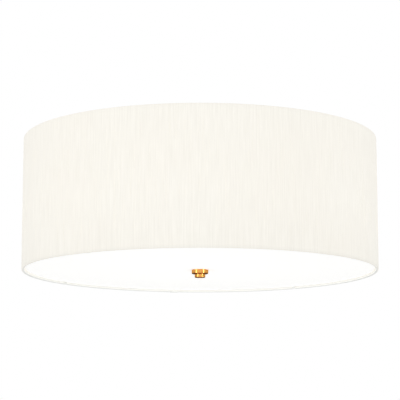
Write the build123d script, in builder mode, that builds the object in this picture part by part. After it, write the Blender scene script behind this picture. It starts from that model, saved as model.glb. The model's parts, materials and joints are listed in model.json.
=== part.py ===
from build123d import *
import os
from math import asin, atan2, cos, degrees, hypot, pi, sin

# Semi-flush ceiling light. A fabric drum shade hangs on a hollow threaded tube from a cup-shaped
# canopy. A box on the tube carries four lampholders, and a flat diffuser closes the shade below,
# held up by a two-piece turned finial. Sizes are in millimetres. The origin is the centre of the
# ceiling face and +Z points up, so every piece lies below zero.

# Shade
shade_diameter = 600.0
shade_height = 225.0
ceiling_gap = 45.0
fabric_thickness = 0.5
liner_thickness = 0.5
ring_wire_diameter = 3.5
hem_clearance = 0.05
hem_open_angle = 50.0
lap_width = 12.0
lap_thickness = 0.6

# Spider that carries the shade
arm_count = 4
arm_angle = 45.0
arm_diameter = 3.6
arm_stub = 11.0
arm_slope_run = 24.0
arm_bend_radius = 10.0
arm_hole_clearance = 0.4
spider_drop = 28.0
spider_plate_radius = 26.0
spider_plate_thickness = 2.0

# Hollow threaded tube and what is clamped along it
tube_diameter = 10.0
tube_bore = 7.0
thread_clearance = 0.05
tube_hole_clearance = 0.2
tube_top_reach = 7.0
nut_across_flats = 14.0
nut_height = 5.0
nut_chamfer = 0.6
tube_washer_radius = 10.0
tube_washer_thickness = 1.0
sleeve_radius = 8.0
sleeve_wall = 1.0
collar_radius = 13.0
collar_height = 5.0
collar_rounding = 2.0
shade_washer_radius = 15.0
shade_washer_thickness = 1.5
wire_slot_width = 5.0
wire_slot_height = 12.0

# Canopy and the bracket that stays on the ceiling
canopy_diameter = 120.0
canopy_depth = 28.0
canopy_wall = 1.2
canopy_corner = 8.0
canopy_rim_width = 1.2
canopy_rim_height = 1.8
ear_clearance = 1.3
strap_width = 20.0
strap_thickness = 1.6
strap_bend_radius = 1.2
ear_depth = 18.0
cable_hole_radius = 8.0
slot_spacing = 60.0
slot_length = 18.0
slot_width = 5.0
tab_length = 28.0
tab_width = 14.0
tab_screw_radius = 1.5
side_screw_depth = 12.0
side_screw_radius = 2.0
side_screw_clearance = 0.2
side_screw_head_radius = 5.0
side_screw_head_height = 5.0
side_screw_tip = 3.0
side_screw_chamfer = 0.6
earth_screw_inset = 11.0
earth_screw_radius = 2.0
earth_screw_head_radius = 3.6
earth_screw_head_height = 2.2
earth_screw_length = 6.0
earth_washer_radius = 4.6
earth_washer_thickness = 0.8

# Three-pole terminal block and the leads that go down the tube
block_length = 33.0
block_width = 18.0
block_height = 14.0
block_gap = 6.0
block_rounding = 1.5
pole_pitch = 10.0
pole_bore_radius = 2.7
barrel_wall = 1.1
barrel_inset = 1.0
terminal_screw_radius = 1.5
terminal_screw_inset = 4.5
lead_diameter = 2.0
lead_circle = 1.4
lead_bend_clearance = 1.4
lead_entry_radius = 5.0
lead_entry_run = 4.0
lead_in_barrel = 5.0
bush_flange_radius = 5.6
bush_flange_thickness = 0.8
bush_length = 6.0
bush_wall = 0.4

# Lamp box, nipples and lampholders
box_level = 118.0
box_side = 56.0
box_height = 32.0
box_wall = 1.5
box_corner = 8.0
box_bottom_rounding = 3.0
cover_lip_depth = 3.5
cover_lip_clearance = 0.2
nipple_inside = 20.0
nipple_outside = 40.0
nipple_nut_height = 3.0
lamp_count = 4
holder_radius = 19.5
holder_wall = 2.0
holder_boss_radius = 8.5
holder_boss_length = 5.0
holder_cap_length = 18.0
holder_cap_flare = 15.0
holder_spigot_length = 2.5
holder_shell_length = 36.0
holder_lip_length = 2.3
holder_lip_radius = 15.2
holder_band_radius = 21.0
holder_band_start = 14.0
holder_band_length = 3.0
holder_fit = 0.2
base_thickness = 3.4
base_ring_depth = 8.0
screw_shell_radius = 13.3
screw_shell_wall = 0.6
screw_shell_length = 25.5
screw_shell_start = 1.5
contact_radius = 5.0
contact_pad_radius = 3.0
contact_thickness = 1.0
contact_rise = 1.3
lamp_lead_diameter = 1.8
lamp_lead_offset = 1.3
lamp_lead_start = 16.0

# Bulbs
bulb_radius = 30.0
bulb_length = 106.7
bulb_cap_radius = 13.0
bulb_tip_radius = 4.5
bulb_tip_thickness = 1.0
bulb_cone_radius = 11.0
bulb_cone_length = 3.7
bulb_thread_length = 19.0
bulb_collar_radius = 14.2
bulb_collar_gap = 2.0
bulb_collar_length = 2.0
bulb_wall = 1.2

# Diffuser, its clips and the finial
diffuser_recess = 4.2
diffuser_thickness = 3.0
diffuser_edge_gap = 1.4
diffuser_hole_radius = 7.6
diffuser_rounding = 0.5
clip_width = 6.0
clip_thickness = 0.6
clip_clearance = 0.05
clip_hook_angle = 60.0
clip_foot_length = 8.0
clip_foot_gap = 0.3
stop_nut_radius = 8.0
stop_nut_height = 5.0
stop_flange_radius = 12.0
stop_flange_thickness = 2.0
finial_cap_radius = 14.0
finial_cap_height = 6.5
finial_cap_top_rounding = 0.5
finial_cap_bottom_rounding = 0.9
finial_knob_radius = 9.0
finial_knob_height = 6.3
finial_knob_rounding = 0.7
finial_neck_radius = 7.6
finial_neck_height = 0.8
finial_shank_radius = 7.0
finial_shank_clearance = 0.1
finial_shank_top = 1.2
finial_end_wall = 2.0
tube_end_gap = 0.6
gasket_radius = 11.0
gasket_thickness = 0.8
gasket_clearance = 0.1

# Levels along the axis
shade_radius = shade_diameter / 2
shade_top = -ceiling_gap
shade_bottom = shade_top - shade_height
hem_radius = ring_wire_diameter / 2 + hem_clearance + fabric_thickness
hem_circle = shade_radius - hem_radius
liner_radius = shade_radius - fabric_thickness
tube_radius = tube_diameter / 2
tube_hole_radius = tube_radius + tube_hole_clearance
thread_hole_radius = tube_radius + thread_clearance
canopy_radius = canopy_diameter / 2
canopy_floor = -canopy_depth + canopy_wall
ear_face = canopy_radius - canopy_wall - ear_clearance
strap_length = 2 * ear_face
washer_top = canopy_floor + tube_washer_thickness
tube_top = washer_top + tube_top_reach
collar_bottom = -canopy_depth - collar_height
plate_top = shade_top - spider_drop
plate_bottom = plate_top - spider_plate_thickness
sleeve_bottom = plate_top + shade_washer_thickness
spacer_top = plate_bottom - shade_washer_thickness
box_top = -box_level
box_bottom = box_top - box_height
lamp_level = box_top - box_height / 2
diffuser_bottom = shade_bottom + diffuser_recess
diffuser_top = diffuser_bottom + diffuser_thickness
cap_bottom = diffuser_bottom - finial_cap_height
knob_bottom = cap_bottom - finial_knob_height
knob_bore_end = knob_bottom + finial_end_wall
tube_bottom = knob_bore_end + tube_end_gap

# Stations along each lamp's axis, counted outwards from the tube
holder_start = box_side / 2
cap_end = holder_start + holder_cap_length
spigot_end = cap_end + holder_spigot_length
base_start = spigot_end + holder_fit / 2
base_front = base_start + base_thickness
contact_front = base_front + contact_thickness + contact_rise
shell_end = cap_end + holder_shell_length
screw_shell_front = base_front + screw_shell_start + screw_shell_length
bulb_thread_start = contact_front + bulb_tip_thickness + bulb_cone_length
bulb_thread_end = bulb_thread_start + bulb_thread_length
bulb_neck = bulb_thread_end + bulb_collar_gap + bulb_collar_length
bulb_centre = contact_front + bulb_length - bulb_radius


def save(piece, name):
    """Labels one finished piece and writes it to its own file."""
    piece.label = name
    export_step(piece, f"parts/{name}.step")


def disc(outer, inner, bottom, height):
    """A flat ring or a straight tube on the Z axis."""
    with BuildPart() as piece:
        with BuildSketch(Plane.XY.offset(bottom)):
            Circle(outer)
            Circle(inner, mode=Mode.SUBTRACT)
        extrude(amount=height)
    return piece.part


def turned(points):
    """A solid of revolution about Z from (radius, height) corners."""
    with BuildPart() as piece:
        with BuildSketch(Plane.XZ):
            with BuildLine():
                Polyline(*points, close=True)
            make_face()
        revolve(axis=Axis.Z)
    return piece.part


def lamp_frame(index):
    """The drawing plane and axis of one lamp: local X is the radius, local Y runs outwards."""
    turn = 2 * pi * index / lamp_count
    outwards = Vector(cos(turn), sin(turn), 0)
    up = Vector(0, 0, 1)
    origin = Vector(0, 0, lamp_level)
    return Plane(origin, x_dir=up, z_dir=up.cross(outwards)), Axis(origin, outwards)


def lamp_cross_plane(index, station):
    """The plane square to one lamp's axis, facing outwards at a station along it."""
    turn = 2 * pi * index / lamp_count
    outwards = Vector(cos(turn), sin(turn), 0)
    origin = Vector(0, 0, lamp_level) + outwards * station
    return Plane(origin, x_dir=Vector(0, 0, 1), z_dir=outwards)


def lamp_turned(index, points):
    """A solid of revolution about one lamp's axis from (radius, station) corners."""
    plane, axis = lamp_frame(index)
    with BuildPart() as piece:
        with BuildSketch(plane):
            with BuildLine():
                Polyline(*points, close=True)
            make_face()
        revolve(axis=axis)
    return piece.part


def group(pieces):
    """Several separate solids that share one node."""
    return Compound(children=list(pieces))


os.makedirs("parts", exist_ok=True)

# Ceiling bracket: a steel strap with two slots, a cable hole, a tab for the terminal block and two
# ears turned down inside the canopy, where the side screws catch them.
earth_screw_place = ear_face - earth_screw_inset
with BuildPart() as ceiling_bracket:
    with BuildSketch(Plane.XY.offset(-strap_thickness)):
        Rectangle(strap_length, strap_width)
        with Locations((0, strap_width / 2 + tab_length / 2)):
            Rectangle(tab_width, tab_length)
        Circle(cable_hole_radius, mode=Mode.SUBTRACT)
        with Locations((slot_spacing / 2, 0), (-slot_spacing / 2, 0)):
            SlotOverall(slot_length, slot_width, mode=Mode.SUBTRACT)
        with Locations((earth_screw_place, 0)):
            Circle(earth_screw_radius, mode=Mode.SUBTRACT)
        with Locations((0, strap_width / 2 + block_gap + block_width / 2)):
            Circle(tab_screw_radius, mode=Mode.SUBTRACT)
    extrude(amount=strap_thickness)
    with BuildSketch(Plane.XY.offset(-strap_thickness)):
        ear_centre = ear_face - strap_thickness / 2
        with Locations((ear_centre, 0), (-ear_centre, 0)):
            Rectangle(strap_thickness, strap_width)
    extrude(amount=strap_thickness - ear_depth)
    bends = ceiling_bracket.edges().filter_by(Axis.Y).filter_by(
        lambda e: abs(abs(e.center().X) - ear_face) < 0.01 and abs(e.center().Z) < 0.01
    )
    fillet(bends, strap_thickness + strap_bend_radius)
    inner_bends = ceiling_bracket.edges().filter_by(Axis.Y).filter_by(
        lambda e: abs(abs(e.center().X) - ear_face + strap_thickness) < 0.01
        and abs(e.center().Z + strap_thickness) < 0.01
    )
    fillet(inner_bends, strap_bend_radius)
    with BuildSketch(Plane.YZ):
        with Locations((0, -side_screw_depth)):
            Circle(side_screw_radius + thread_clearance)
    extrude(amount=strap_length, both=True, mode=Mode.SUBTRACT)
save(ceiling_bracket.part, "ceiling_bracket")

# Earth screw with its cup washer, in the strap beside one slot.
with BuildPart() as earth_washer:
    with BuildSketch(Plane.XY.offset(-strap_thickness)):
        with Locations((earth_screw_place, 0)):
            Circle(earth_washer_radius)
            Circle(earth_screw_radius + thread_clearance, mode=Mode.SUBTRACT)
    extrude(amount=-earth_washer_thickness)
with BuildPart() as earth_screw:
    head_level = -strap_thickness - earth_washer_thickness
    with BuildSketch(Plane.XY.offset(head_level)):
        with Locations((earth_screw_place, 0)):
            Circle(earth_screw_head_radius)
    extrude(amount=-earth_screw_head_height)
    fillet(earth_screw.faces().sort_by(Axis.Z)[0].edges(), earth_screw_head_height / 3)
    with BuildSketch(Plane.XY.offset(head_level)):
        with Locations((earth_screw_place, 0)):
            Circle(earth_screw_radius - thread_clearance)
    extrude(amount=min(earth_screw_length, -head_level))
save(group([earth_washer.part, earth_screw.part]), "earth_screw")

# Canopy: a spun cup with a rolled rim against the ceiling and a hole for the tube.
with BuildPart() as canopy:
    with BuildSketch(Plane.XZ):
        inner = canopy_radius - canopy_wall
        inner_corner = canopy_corner - canopy_wall
        rim = canopy_radius + canopy_rim_width
        with BuildLine():
            Polyline(
                (tube_hole_radius, canopy_floor),
                (tube_hole_radius, -canopy_depth),
                (canopy_radius - canopy_corner, -canopy_depth),
            )
            RadiusArc(
                (canopy_radius - canopy_corner, -canopy_depth),
                (canopy_radius, -canopy_depth + canopy_corner),
                -canopy_corner,
            )
            Polyline(
                (canopy_radius, -canopy_depth + canopy_corner),
                (canopy_radius, -canopy_rim_height),
                (rim, -canopy_rim_height),
                (rim, 0),
                (inner, 0),
                (inner, canopy_floor + inner_corner),
            )
            RadiusArc(
                (inner, canopy_floor + inner_corner),
                (inner - inner_corner, canopy_floor),
                inner_corner,
            )
            Line((inner - inner_corner, canopy_floor), (tube_hole_radius, canopy_floor))
        make_face()
    revolve(axis=Axis.Z)
    with BuildSketch(Plane.YZ):
        with Locations((0, -side_screw_depth)):
            Circle(side_screw_radius + side_screw_clearance)
    extrude(amount=canopy_diameter, both=True, mode=Mode.SUBTRACT)
    rim_edges = canopy.edges().filter_by(GeomType.CIRCLE).filter_by(
        lambda e: abs(e.radius - rim) < 0.01
    )
    fillet(rim_edges, canopy_rim_height / 3)
save(canopy.part, "canopy")

# Side screws: two thumb screws through the canopy's wall into the bracket's ears.
side_screws = []
for side in (1, -1):
    seat = Plane(
        Vector(side * canopy_radius, 0, -side_screw_depth), z_dir=Vector(side, 0, 0)
    )
    with BuildPart() as side_screw:
        with BuildSketch(seat):
            Circle(side_screw_head_radius)
        extrude(amount=side_screw_head_height)
        chamfer(side_screw.edges(), side_screw_chamfer)
        shank = canopy_radius - ear_face + strap_thickness + side_screw_tip
        with BuildSketch(seat):
            Circle(side_screw_radius)
        extrude(amount=-shank)
    side_screws.append(side_screw.part)
save(group(side_screws), "canopy_screws")

# Terminal block: three poles side by side under the bracket's tab.
block_near = strap_width / 2 + block_gap
block_middle = block_near + block_width / 2
pole_level = -strap_thickness - block_height / 2
poles = [-pole_pitch, 0.0, pole_pitch]
with BuildPart() as terminal_block:
    with BuildSketch(Plane.XY.offset(-strap_thickness)):
        with Locations((0, block_middle)):
            Rectangle(block_length, block_width)
    extrude(amount=-block_height)
    fillet(terminal_block.edges().filter_by(Axis.Z), block_rounding)
    with BuildSketch(Plane.XZ.offset(-block_near)):
        with Locations(*[(x, pole_level) for x in poles]):
            Circle(pole_bore_radius)
    extrude(amount=-block_width, mode=Mode.SUBTRACT)
    with BuildSketch(Plane.XY.offset(-strap_thickness - block_height)):
        for row in (terminal_screw_inset, block_width - terminal_screw_inset):
            with Locations(*[(x, block_near + row) for x in poles]):
                Circle(terminal_screw_radius + side_screw_clearance)
    extrude(amount=block_height / 2, mode=Mode.SUBTRACT)
save(terminal_block.part, "terminal_block")

# Brass barrels in the block, and the screws that grip the leads in them.
barrels = []
for x in poles:
    with BuildPart() as barrel:
        with BuildSketch(Plane.XZ.offset(-block_near - barrel_inset)):
            with Locations((x, pole_level)):
                Circle(pole_bore_radius)
                Circle(pole_bore_radius - barrel_wall, mode=Mode.SUBTRACT)
        extrude(amount=2 * barrel_inset - block_width)
        with BuildSketch(Plane.XY.offset(pole_level)):
            for row in (terminal_screw_inset, block_width - terminal_screw_inset):
                with Locations((x, block_near + row)):
                    Circle(terminal_screw_radius + thread_clearance)
        extrude(amount=-block_height, mode=Mode.SUBTRACT)
    barrels.append(barrel.part)
save(group(barrels), "terminal_barrels")
terminal_screws = []
screw_tip = pole_level - pole_bore_radius + barrel_wall
for x in poles:
    for row in (terminal_screw_inset, block_width - terminal_screw_inset):
        with BuildPart() as terminal_screw:
            with BuildSketch(Plane.XY.offset(screw_tip)):
                with Locations((x, block_near + row)):
                    Circle(terminal_screw_radius)
            extrude(amount=-(block_height / 2 - pole_bore_radius))
        terminal_screws.append(terminal_screw.part)
save(group(terminal_screws), "terminal_screws")

# Bush that lines the tube's mouth, so that its edge doesn't cut the leads.
bush_bore = tube_bore / 2 - thread_clearance - bush_wall
with BuildPart() as wire_bush:
    with BuildSketch(Plane.XY.offset(tube_top)):
        Circle(bush_flange_radius)
        Circle(bush_bore, mode=Mode.SUBTRACT)
    extrude(amount=bush_flange_thickness)
    with BuildSketch(Plane.XY.offset(tube_top)):
        Circle(tube_bore / 2 - thread_clearance)
        Circle(bush_bore, mode=Mode.SUBTRACT)
    extrude(amount=-bush_length)
save(wire_bush.part, "wire_bush")

# Three leads run from the terminal block over the bush and down the tube to its slot.
lead_end = box_top - box_height / 4
lead_bend_radius = pole_level - tube_top - bush_flange_thickness - lead_bend_clearance
lead_names = ("lead_live", "lead_earth", "lead_neutral")
lead_angles = (210.0, 90.0, 330.0)
for name, angle, x in zip(lead_names, lead_angles, poles):
    in_tube = Vector(lead_circle, 0).rotate(Axis.Z, angle)
    entry = block_near - lead_entry_run
    route_points = [
        (in_tube.X, in_tube.Y, lead_end),
        (in_tube.X, in_tube.Y, pole_level),
        (x, entry, pole_level),
        (x, block_near + lead_in_barrel, pole_level),
    ]
    straight_in = abs(x - in_tube.X) < lead_diameter / 2
    if straight_in:
        route_points.pop(2)
    radii = [lead_bend_radius] if straight_in else [lead_bend_radius, lead_entry_radius]
    with BuildPart() as lead:
        with BuildLine() as route:
            FilletPolyline(*route_points, radius=radii)
        with BuildSketch(Plane(route.line @ 0, z_dir=route.line % 0)):
            Circle(lead_diameter / 2)
        sweep()
    save(lead.part, name)

# Hollow tube, with a slot inside the lamp box where the leads come out.
with BuildPart() as centre_tube:
    with BuildSketch(Plane.XY.offset(tube_bottom)):
        Circle(tube_radius)
        Circle(tube_bore / 2, mode=Mode.SUBTRACT)
    extrude(amount=tube_top - tube_bottom)
    with BuildSketch(Plane.YZ):
        with Locations((0, lead_end - wire_slot_height / 4)):
            SlotOverall(wire_slot_height, wire_slot_width, rotation=90)
    extrude(amount=tube_diameter, mode=Mode.SUBTRACT)
save(centre_tube.part, "centre_tube")

# Nuts and washer that clamp the stack, one nut in the canopy and one under the lamp box.
save(
    disc(tube_washer_radius, tube_hole_radius, canopy_floor, tube_washer_thickness),
    "tube_washer",
)
tube_nuts = []
for level in (washer_top, box_bottom - nut_height):
    with BuildPart() as nut:
        with BuildSketch(Plane.XY.offset(level)):
            RegularPolygon(nut_across_flats / 2, 6, major_radius=False)
        extrude(amount=nut_height)
        chamfer(nut.faces().sort_by(Axis.Z)[-1].edges(), nut_chamfer)
        chamfer(nut.faces().sort_by(Axis.Z)[0].edges(), nut_chamfer)
        with BuildSketch(Plane.XY.offset(level)):
            Circle(thread_hole_radius)
        extrude(amount=nut_height, mode=Mode.SUBTRACT)
    tube_nuts.append(nut.part)
save(group(tube_nuts), "tube_nuts")

# Collar, stem sleeve, washers and spacer that stack up between the canopy and the lamp box.
with BuildPart() as canopy_collar:
    with BuildSketch(Plane.XY.offset(collar_bottom)):
        Circle(collar_radius)
    extrude(amount=collar_height)
    fillet(canopy_collar.faces().sort_by(Axis.Z)[0].edges(), collar_rounding)
    with BuildSketch(Plane.XY.offset(collar_bottom)):
        Circle(tube_hole_radius)
    extrude(amount=collar_height, mode=Mode.SUBTRACT)
save(canopy_collar.part, "canopy_collar")
sleeve_bore = sleeve_radius - sleeve_wall
save(
    disc(sleeve_radius, sleeve_bore, sleeve_bottom, collar_bottom - sleeve_bottom),
    "stem_sleeve",
)
save(
    group(
        disc(shade_washer_radius, tube_hole_radius, level, shade_washer_thickness)
        for level in (plate_top, spacer_top)
    ),
    "shade_washers",
)
save(disc(sleeve_radius, sleeve_bore, box_top, spacer_top - box_top), "spacer_sleeve")

# Lamp box: a square pressed cup with a port in each side, and its lid.
with BuildPart() as lamp_box:
    with BuildSketch(Plane.XY.offset(box_bottom)):
        RectangleRounded(box_side, box_side, box_corner)
    extrude(amount=box_height - box_wall)
    fillet(lamp_box.faces().sort_by(Axis.Z)[0].edges(), box_bottom_rounding)
    offset(amount=-box_wall, openings=lamp_box.faces().sort_by(Axis.Z)[-1])
    with BuildSketch(Plane.XY.offset(box_bottom)):
        Circle(tube_hole_radius)
    extrude(amount=box_height / 2, mode=Mode.SUBTRACT)
    for port_plane in (Plane.XZ, Plane.YZ):
        with BuildSketch(port_plane):
            with Locations((0, lamp_level)):
                Circle(thread_hole_radius)
        extrude(amount=box_side, both=True, mode=Mode.SUBTRACT)
save(lamp_box.part, "lamp_box")
with BuildPart() as lamp_box_lid:
    with BuildSketch(Plane.XY.offset(box_top - box_wall)):
        RectangleRounded(box_side, box_side, box_corner)
        Circle(tube_hole_radius, mode=Mode.SUBTRACT)
    extrude(amount=box_wall)
    lip_side = box_side - 2 * box_wall - 2 * cover_lip_clearance
    lip_corner = box_corner - box_wall - cover_lip_clearance
    with BuildSketch(Plane.XY.offset(box_top - box_wall)):
        RectangleRounded(lip_side, lip_side, lip_corner)
        RectangleRounded(
            lip_side - 2 * box_wall,
            lip_side - 2 * box_wall,
            lip_corner - box_wall,
            mode=Mode.SUBTRACT,
        )
    extrude(amount=-cover_lip_depth)
save(lamp_box_lid.part, "lamp_box_lid")

# Nipples that carry the lampholders, each with a nut inside the box.
nipples, nipple_nuts = [], []
for index in range(lamp_count):
    with BuildPart() as nipple:
        with BuildSketch(lamp_cross_plane(index, nipple_inside)):
            Circle(tube_radius)
            Circle(tube_bore / 2, mode=Mode.SUBTRACT)
        extrude(amount=nipple_outside - nipple_inside)
    nipples.append(nipple.part)
    nut_start = holder_start - box_wall - nipple_nut_height
    with BuildPart() as nipple_nut:
        with BuildSketch(lamp_cross_plane(index, nut_start)):
            RegularPolygon(nut_across_flats / 2, 6, major_radius=False)
            Circle(thread_hole_radius, mode=Mode.SUBTRACT)
        extrude(amount=nipple_nut_height)
    nipple_nuts.append(nipple_nut.part)
save(group(nipples), "lamp_nipples")
save(group(nipple_nuts), "nipple_nuts")

# Lampholders: a flared cap on the nipple, a skirt screwed onto it, a ceramic base with a centre
# contact, and a metal screw shell that takes the bulb.
spigot_radius = holder_radius - holder_wall - holder_fit
bases, contacts = [], []
for index in range(lamp_count):
    number = index + 1
    plane, axis = lamp_frame(index)
    boss_end = holder_start + holder_boss_length
    flare_end = holder_start + holder_cap_flare
    with BuildPart() as holder_cap:
        with BuildSketch(plane):
            with BuildLine():
                Polyline(
                    (thread_hole_radius, holder_start),
                    (holder_boss_radius, holder_start),
                    (holder_boss_radius, boss_end),
                )
                ThreePointArc(
                    (holder_boss_radius, boss_end),
                    (
                        (holder_boss_radius + 2 * holder_radius) / 3,
                        (2 * boss_end + flare_end) / 3,
                    ),
                    (holder_radius, flare_end),
                )
                Polyline(
                    (holder_radius, flare_end),
                    (holder_radius, cap_end),
                    (spigot_radius, cap_end),
                    (spigot_radius, spigot_end),
                    (spigot_radius - holder_wall, spigot_end),
                    (spigot_radius - holder_wall, flare_end),
                    (holder_boss_radius, nipple_outside),
                    (thread_hole_radius, nipple_outside),
                    (thread_hole_radius, holder_start),
                )
            make_face()
        revolve(axis=axis)
    save(holder_cap.part, f"lampholder_{number}_cap")

    band_start = cap_end + holder_band_start
    band_end = band_start + holder_band_length
    skirt = lamp_turned(
        index,
        [
            (holder_radius - holder_wall, cap_end),
            (holder_radius, cap_end),
            (holder_radius, band_start),
            (holder_band_radius, band_start),
            (holder_band_radius, band_end),
            (holder_radius, band_end),
            (holder_radius, shell_end),
            (holder_lip_radius, shell_end),
            (holder_lip_radius, shell_end - holder_lip_length),
            (holder_radius - holder_wall, shell_end - holder_lip_length),
        ],
    )
    save(skirt, f"lampholder_{number}_skirt")

    shell_outer = screw_shell_radius + screw_shell_wall
    shell_start = base_front + screw_shell_start
    screw_shell = lamp_turned(
        index,
        [
            (screw_shell_radius, shell_start),
            (shell_outer, shell_start),
            (shell_outer, screw_shell_front),
            (screw_shell_radius, screw_shell_front),
        ],
    )
    save(screw_shell, f"lampholder_{number}_screw_shell")

    base_bore = shell_outer + thread_clearance
    bases.append(
        lamp_turned(
            index,
            [
                (0, base_start),
                (spigot_radius, base_start),
                (spigot_radius, base_front + base_ring_depth),
                (base_bore, base_front + base_ring_depth),
                (base_bore, base_front),
                (0, base_front),
            ],
        )
    )
    contacts.append(
        lamp_turned(
            index,
            [
                (0, base_front),
                (contact_radius, base_front),
                (contact_radius, base_front + contact_thickness),
                (contact_pad_radius, base_front + contact_thickness),
                (contact_pad_radius, contact_front),
                (0, contact_front),
            ],
        )
    )
save(group(bases), "lampholder_bases")
save(group(contacts), "lampholder_contacts")

# Two leads to each lampholder, through its nipple to the back of the ceramic base.
for name, side in (("lamp_leads_live", 1), ("lamp_leads_neutral", -1)):
    lamp_leads = []
    for index in range(lamp_count):
        with BuildPart() as lamp_lead:
            with BuildSketch(lamp_cross_plane(index, lamp_lead_start)):
                with Locations((0, side * lamp_lead_offset)):
                    Circle(lamp_lead_diameter / 2)
            extrude(amount=base_start - lamp_lead_start)
        lamp_leads.append(lamp_lead.part)
    save(group(lamp_leads), name)


def bulb_profile(inset, start):
    """The bulb's outline from a station outwards: a cone tangent to the round end, inset by a wall."""
    radius = bulb_radius - inset
    neck = bulb_collar_radius - inset
    reach = bulb_centre - bulb_neck
    distance = hypot(neck, reach)
    lean = asin(radius / distance) - atan2(neck, reach)
    touch = (distance**2 - radius**2) ** 0.5
    meet = (neck + touch * sin(lean), bulb_neck + touch * cos(lean))
    Polyline((0, start), (neck, start), (neck, bulb_neck), meet)
    shoulder = (radius * cos(pi / 8), bulb_centre + radius * sin(pi / 8))
    ThreePointArc(meet, shoulder, (0, bulb_centre + radius))
    Line((0, bulb_centre + radius), (0, start))


# Bulbs: a screw cap with its centre contact, and a hollow opal bulb.
collar_start = bulb_thread_end + bulb_collar_gap
for index in range(lamp_count):
    number = index + 1
    bulb_cap = lamp_turned(
        index,
        [
            (0, contact_front),
            (bulb_tip_radius, contact_front),
            (bulb_tip_radius, contact_front + bulb_tip_thickness),
            (bulb_cone_radius, bulb_thread_start),
            (bulb_cap_radius, bulb_thread_start),
            (bulb_cap_radius, collar_start),
            (0, collar_start),
        ],
    )
    save(bulb_cap, f"bulb_{number}_cap")
    plane, axis = lamp_frame(index)
    with BuildPart() as bulb_glass:
        with BuildSketch(plane):
            with BuildLine():
                bulb_profile(0, collar_start)
            make_face()
        revolve(axis=axis)
        with BuildSketch(plane):
            with BuildLine():
                bulb_profile(bulb_wall, collar_start)
            make_face()
        revolve(axis=axis, mode=Mode.SUBTRACT)
    save(bulb_glass.part, f"bulb_{number}_glass")

# Shade rings: a wire hoop in the top hem and one in the bottom hem.
hoops = {}
for name, level in (
    ("shade_top_ring", shade_top - hem_radius),
    ("shade_bottom_ring", shade_bottom + hem_radius),
):
    with BuildPart() as hoop:
        with BuildSketch(Plane.XZ):
            with Locations((hem_circle, level)):
                Circle(ring_wire_diameter / 2)
        revolve(axis=Axis.Z)
    hoops[name] = hoop.part
    save(hoop.part, name)

# Spider: four wire arms from the top ring, bent down to a plate on the tube.
arm_level = plate_top + arm_diameter / 2
arm_start = hem_circle - ring_wire_diameter / 4
stub_end = shade_radius - hem_radius - arm_stub
arm_route = [
    (arm_start, shade_top - hem_radius),
    (stub_end, shade_top - hem_radius),
    (stub_end - arm_slope_run, arm_level),
    (shade_washer_radius + arm_diameter / 2, arm_level),
]
arm_turns = [arm_angle + 360.0 * k / arm_count for k in range(arm_count)]
arms = []
for turn in arm_turns:
    upright = Plane.XZ.rotated((0, 0, turn))
    with BuildPart() as arm:
        with BuildLine(upright) as arm_line:
            FilletPolyline(*arm_route, radius=arm_bend_radius)
        with BuildSketch(Plane(arm_line.line @ 0, z_dir=arm_line.line % 0)):
            Circle(arm_diameter / 2)
        sweep()
        add(hoops["shade_top_ring"], mode=Mode.SUBTRACT)
    arms.append(arm.part)
save(group(arms), "spider_arms")
save(
    disc(spider_plate_radius, tube_hole_radius, plate_bottom, spider_plate_thickness),
    "spider_plate",
)

# Fabric cover: one sheet round the drum, rolled over both rings, with a lapped seam at the back and
# a snip in the top roll where each arm leaves the ring.
wire_room = ring_wire_diameter / 2 + hem_clearance
with BuildPart() as shade_fabric:
    with BuildSketch(Plane.XZ):
        wall_middle = shade_radius - fabric_thickness / 2
        with Locations((wall_middle, (shade_top + shade_bottom) / 2)):
            Rectangle(fabric_thickness, shade_height - 2 * hem_radius)
        for level, way in (
            (shade_top - hem_radius, -1),
            (shade_bottom + hem_radius, 1),
        ):
            with BuildSketch(mode=Mode.PRIVATE) as roll:
                Circle(hem_radius)
                Circle(wire_room, mode=Mode.SUBTRACT)
                with BuildLine():
                    reach = 2 * hem_radius
                    open_angle = Vector(reach, 0).rotate(Axis.Z, way * hem_open_angle)
                    Polyline(
                        (0, 0), (reach, 0), (open_angle.X, open_angle.Y), close=True
                    )
                make_face(mode=Mode.SUBTRACT)
            add(roll.sketch.moved(Location((hem_circle, level, 0))))
    revolve(axis=Axis.Z)
    lap_angle = degrees(lap_width / shade_radius)
    lap_plane = Plane.XZ.rotated((0, 0, 90 - lap_angle / 2))
    with BuildSketch(lap_plane):
        with Locations((shade_radius + lap_thickness / 2, (shade_top + shade_bottom) / 2)):
            Rectangle(lap_thickness, shade_height - 2 * hem_radius)
    revolve(axis=Axis.Z, revolution_arc=lap_angle)
    for turn in arm_turns:
        inner_side = Vector(hem_circle - 2 * hem_radius, 0).rotate(Axis.Z, turn)
        with BuildSketch(
            Plane(
                Vector(inner_side.X, inner_side.Y, shade_top - hem_radius),
                z_dir=Vector(inner_side.X, inner_side.Y, 0),
            )
        ):
            Circle(arm_diameter / 2 + arm_hole_clearance)
        extrude(amount=2 * hem_radius, mode=Mode.SUBTRACT)
save(shade_fabric.part, "shade_fabric")

# Liner: the stiff plastic sheet that the fabric is laminated to, between the two rolls.
liner_bottom = shade_bottom + 2 * hem_radius
liner_top = shade_top - 2 * hem_radius
save(
    disc(
        liner_radius, liner_radius - liner_thickness, liner_bottom, liner_top - liner_bottom
    ),
    "shade_liner",
)

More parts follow.
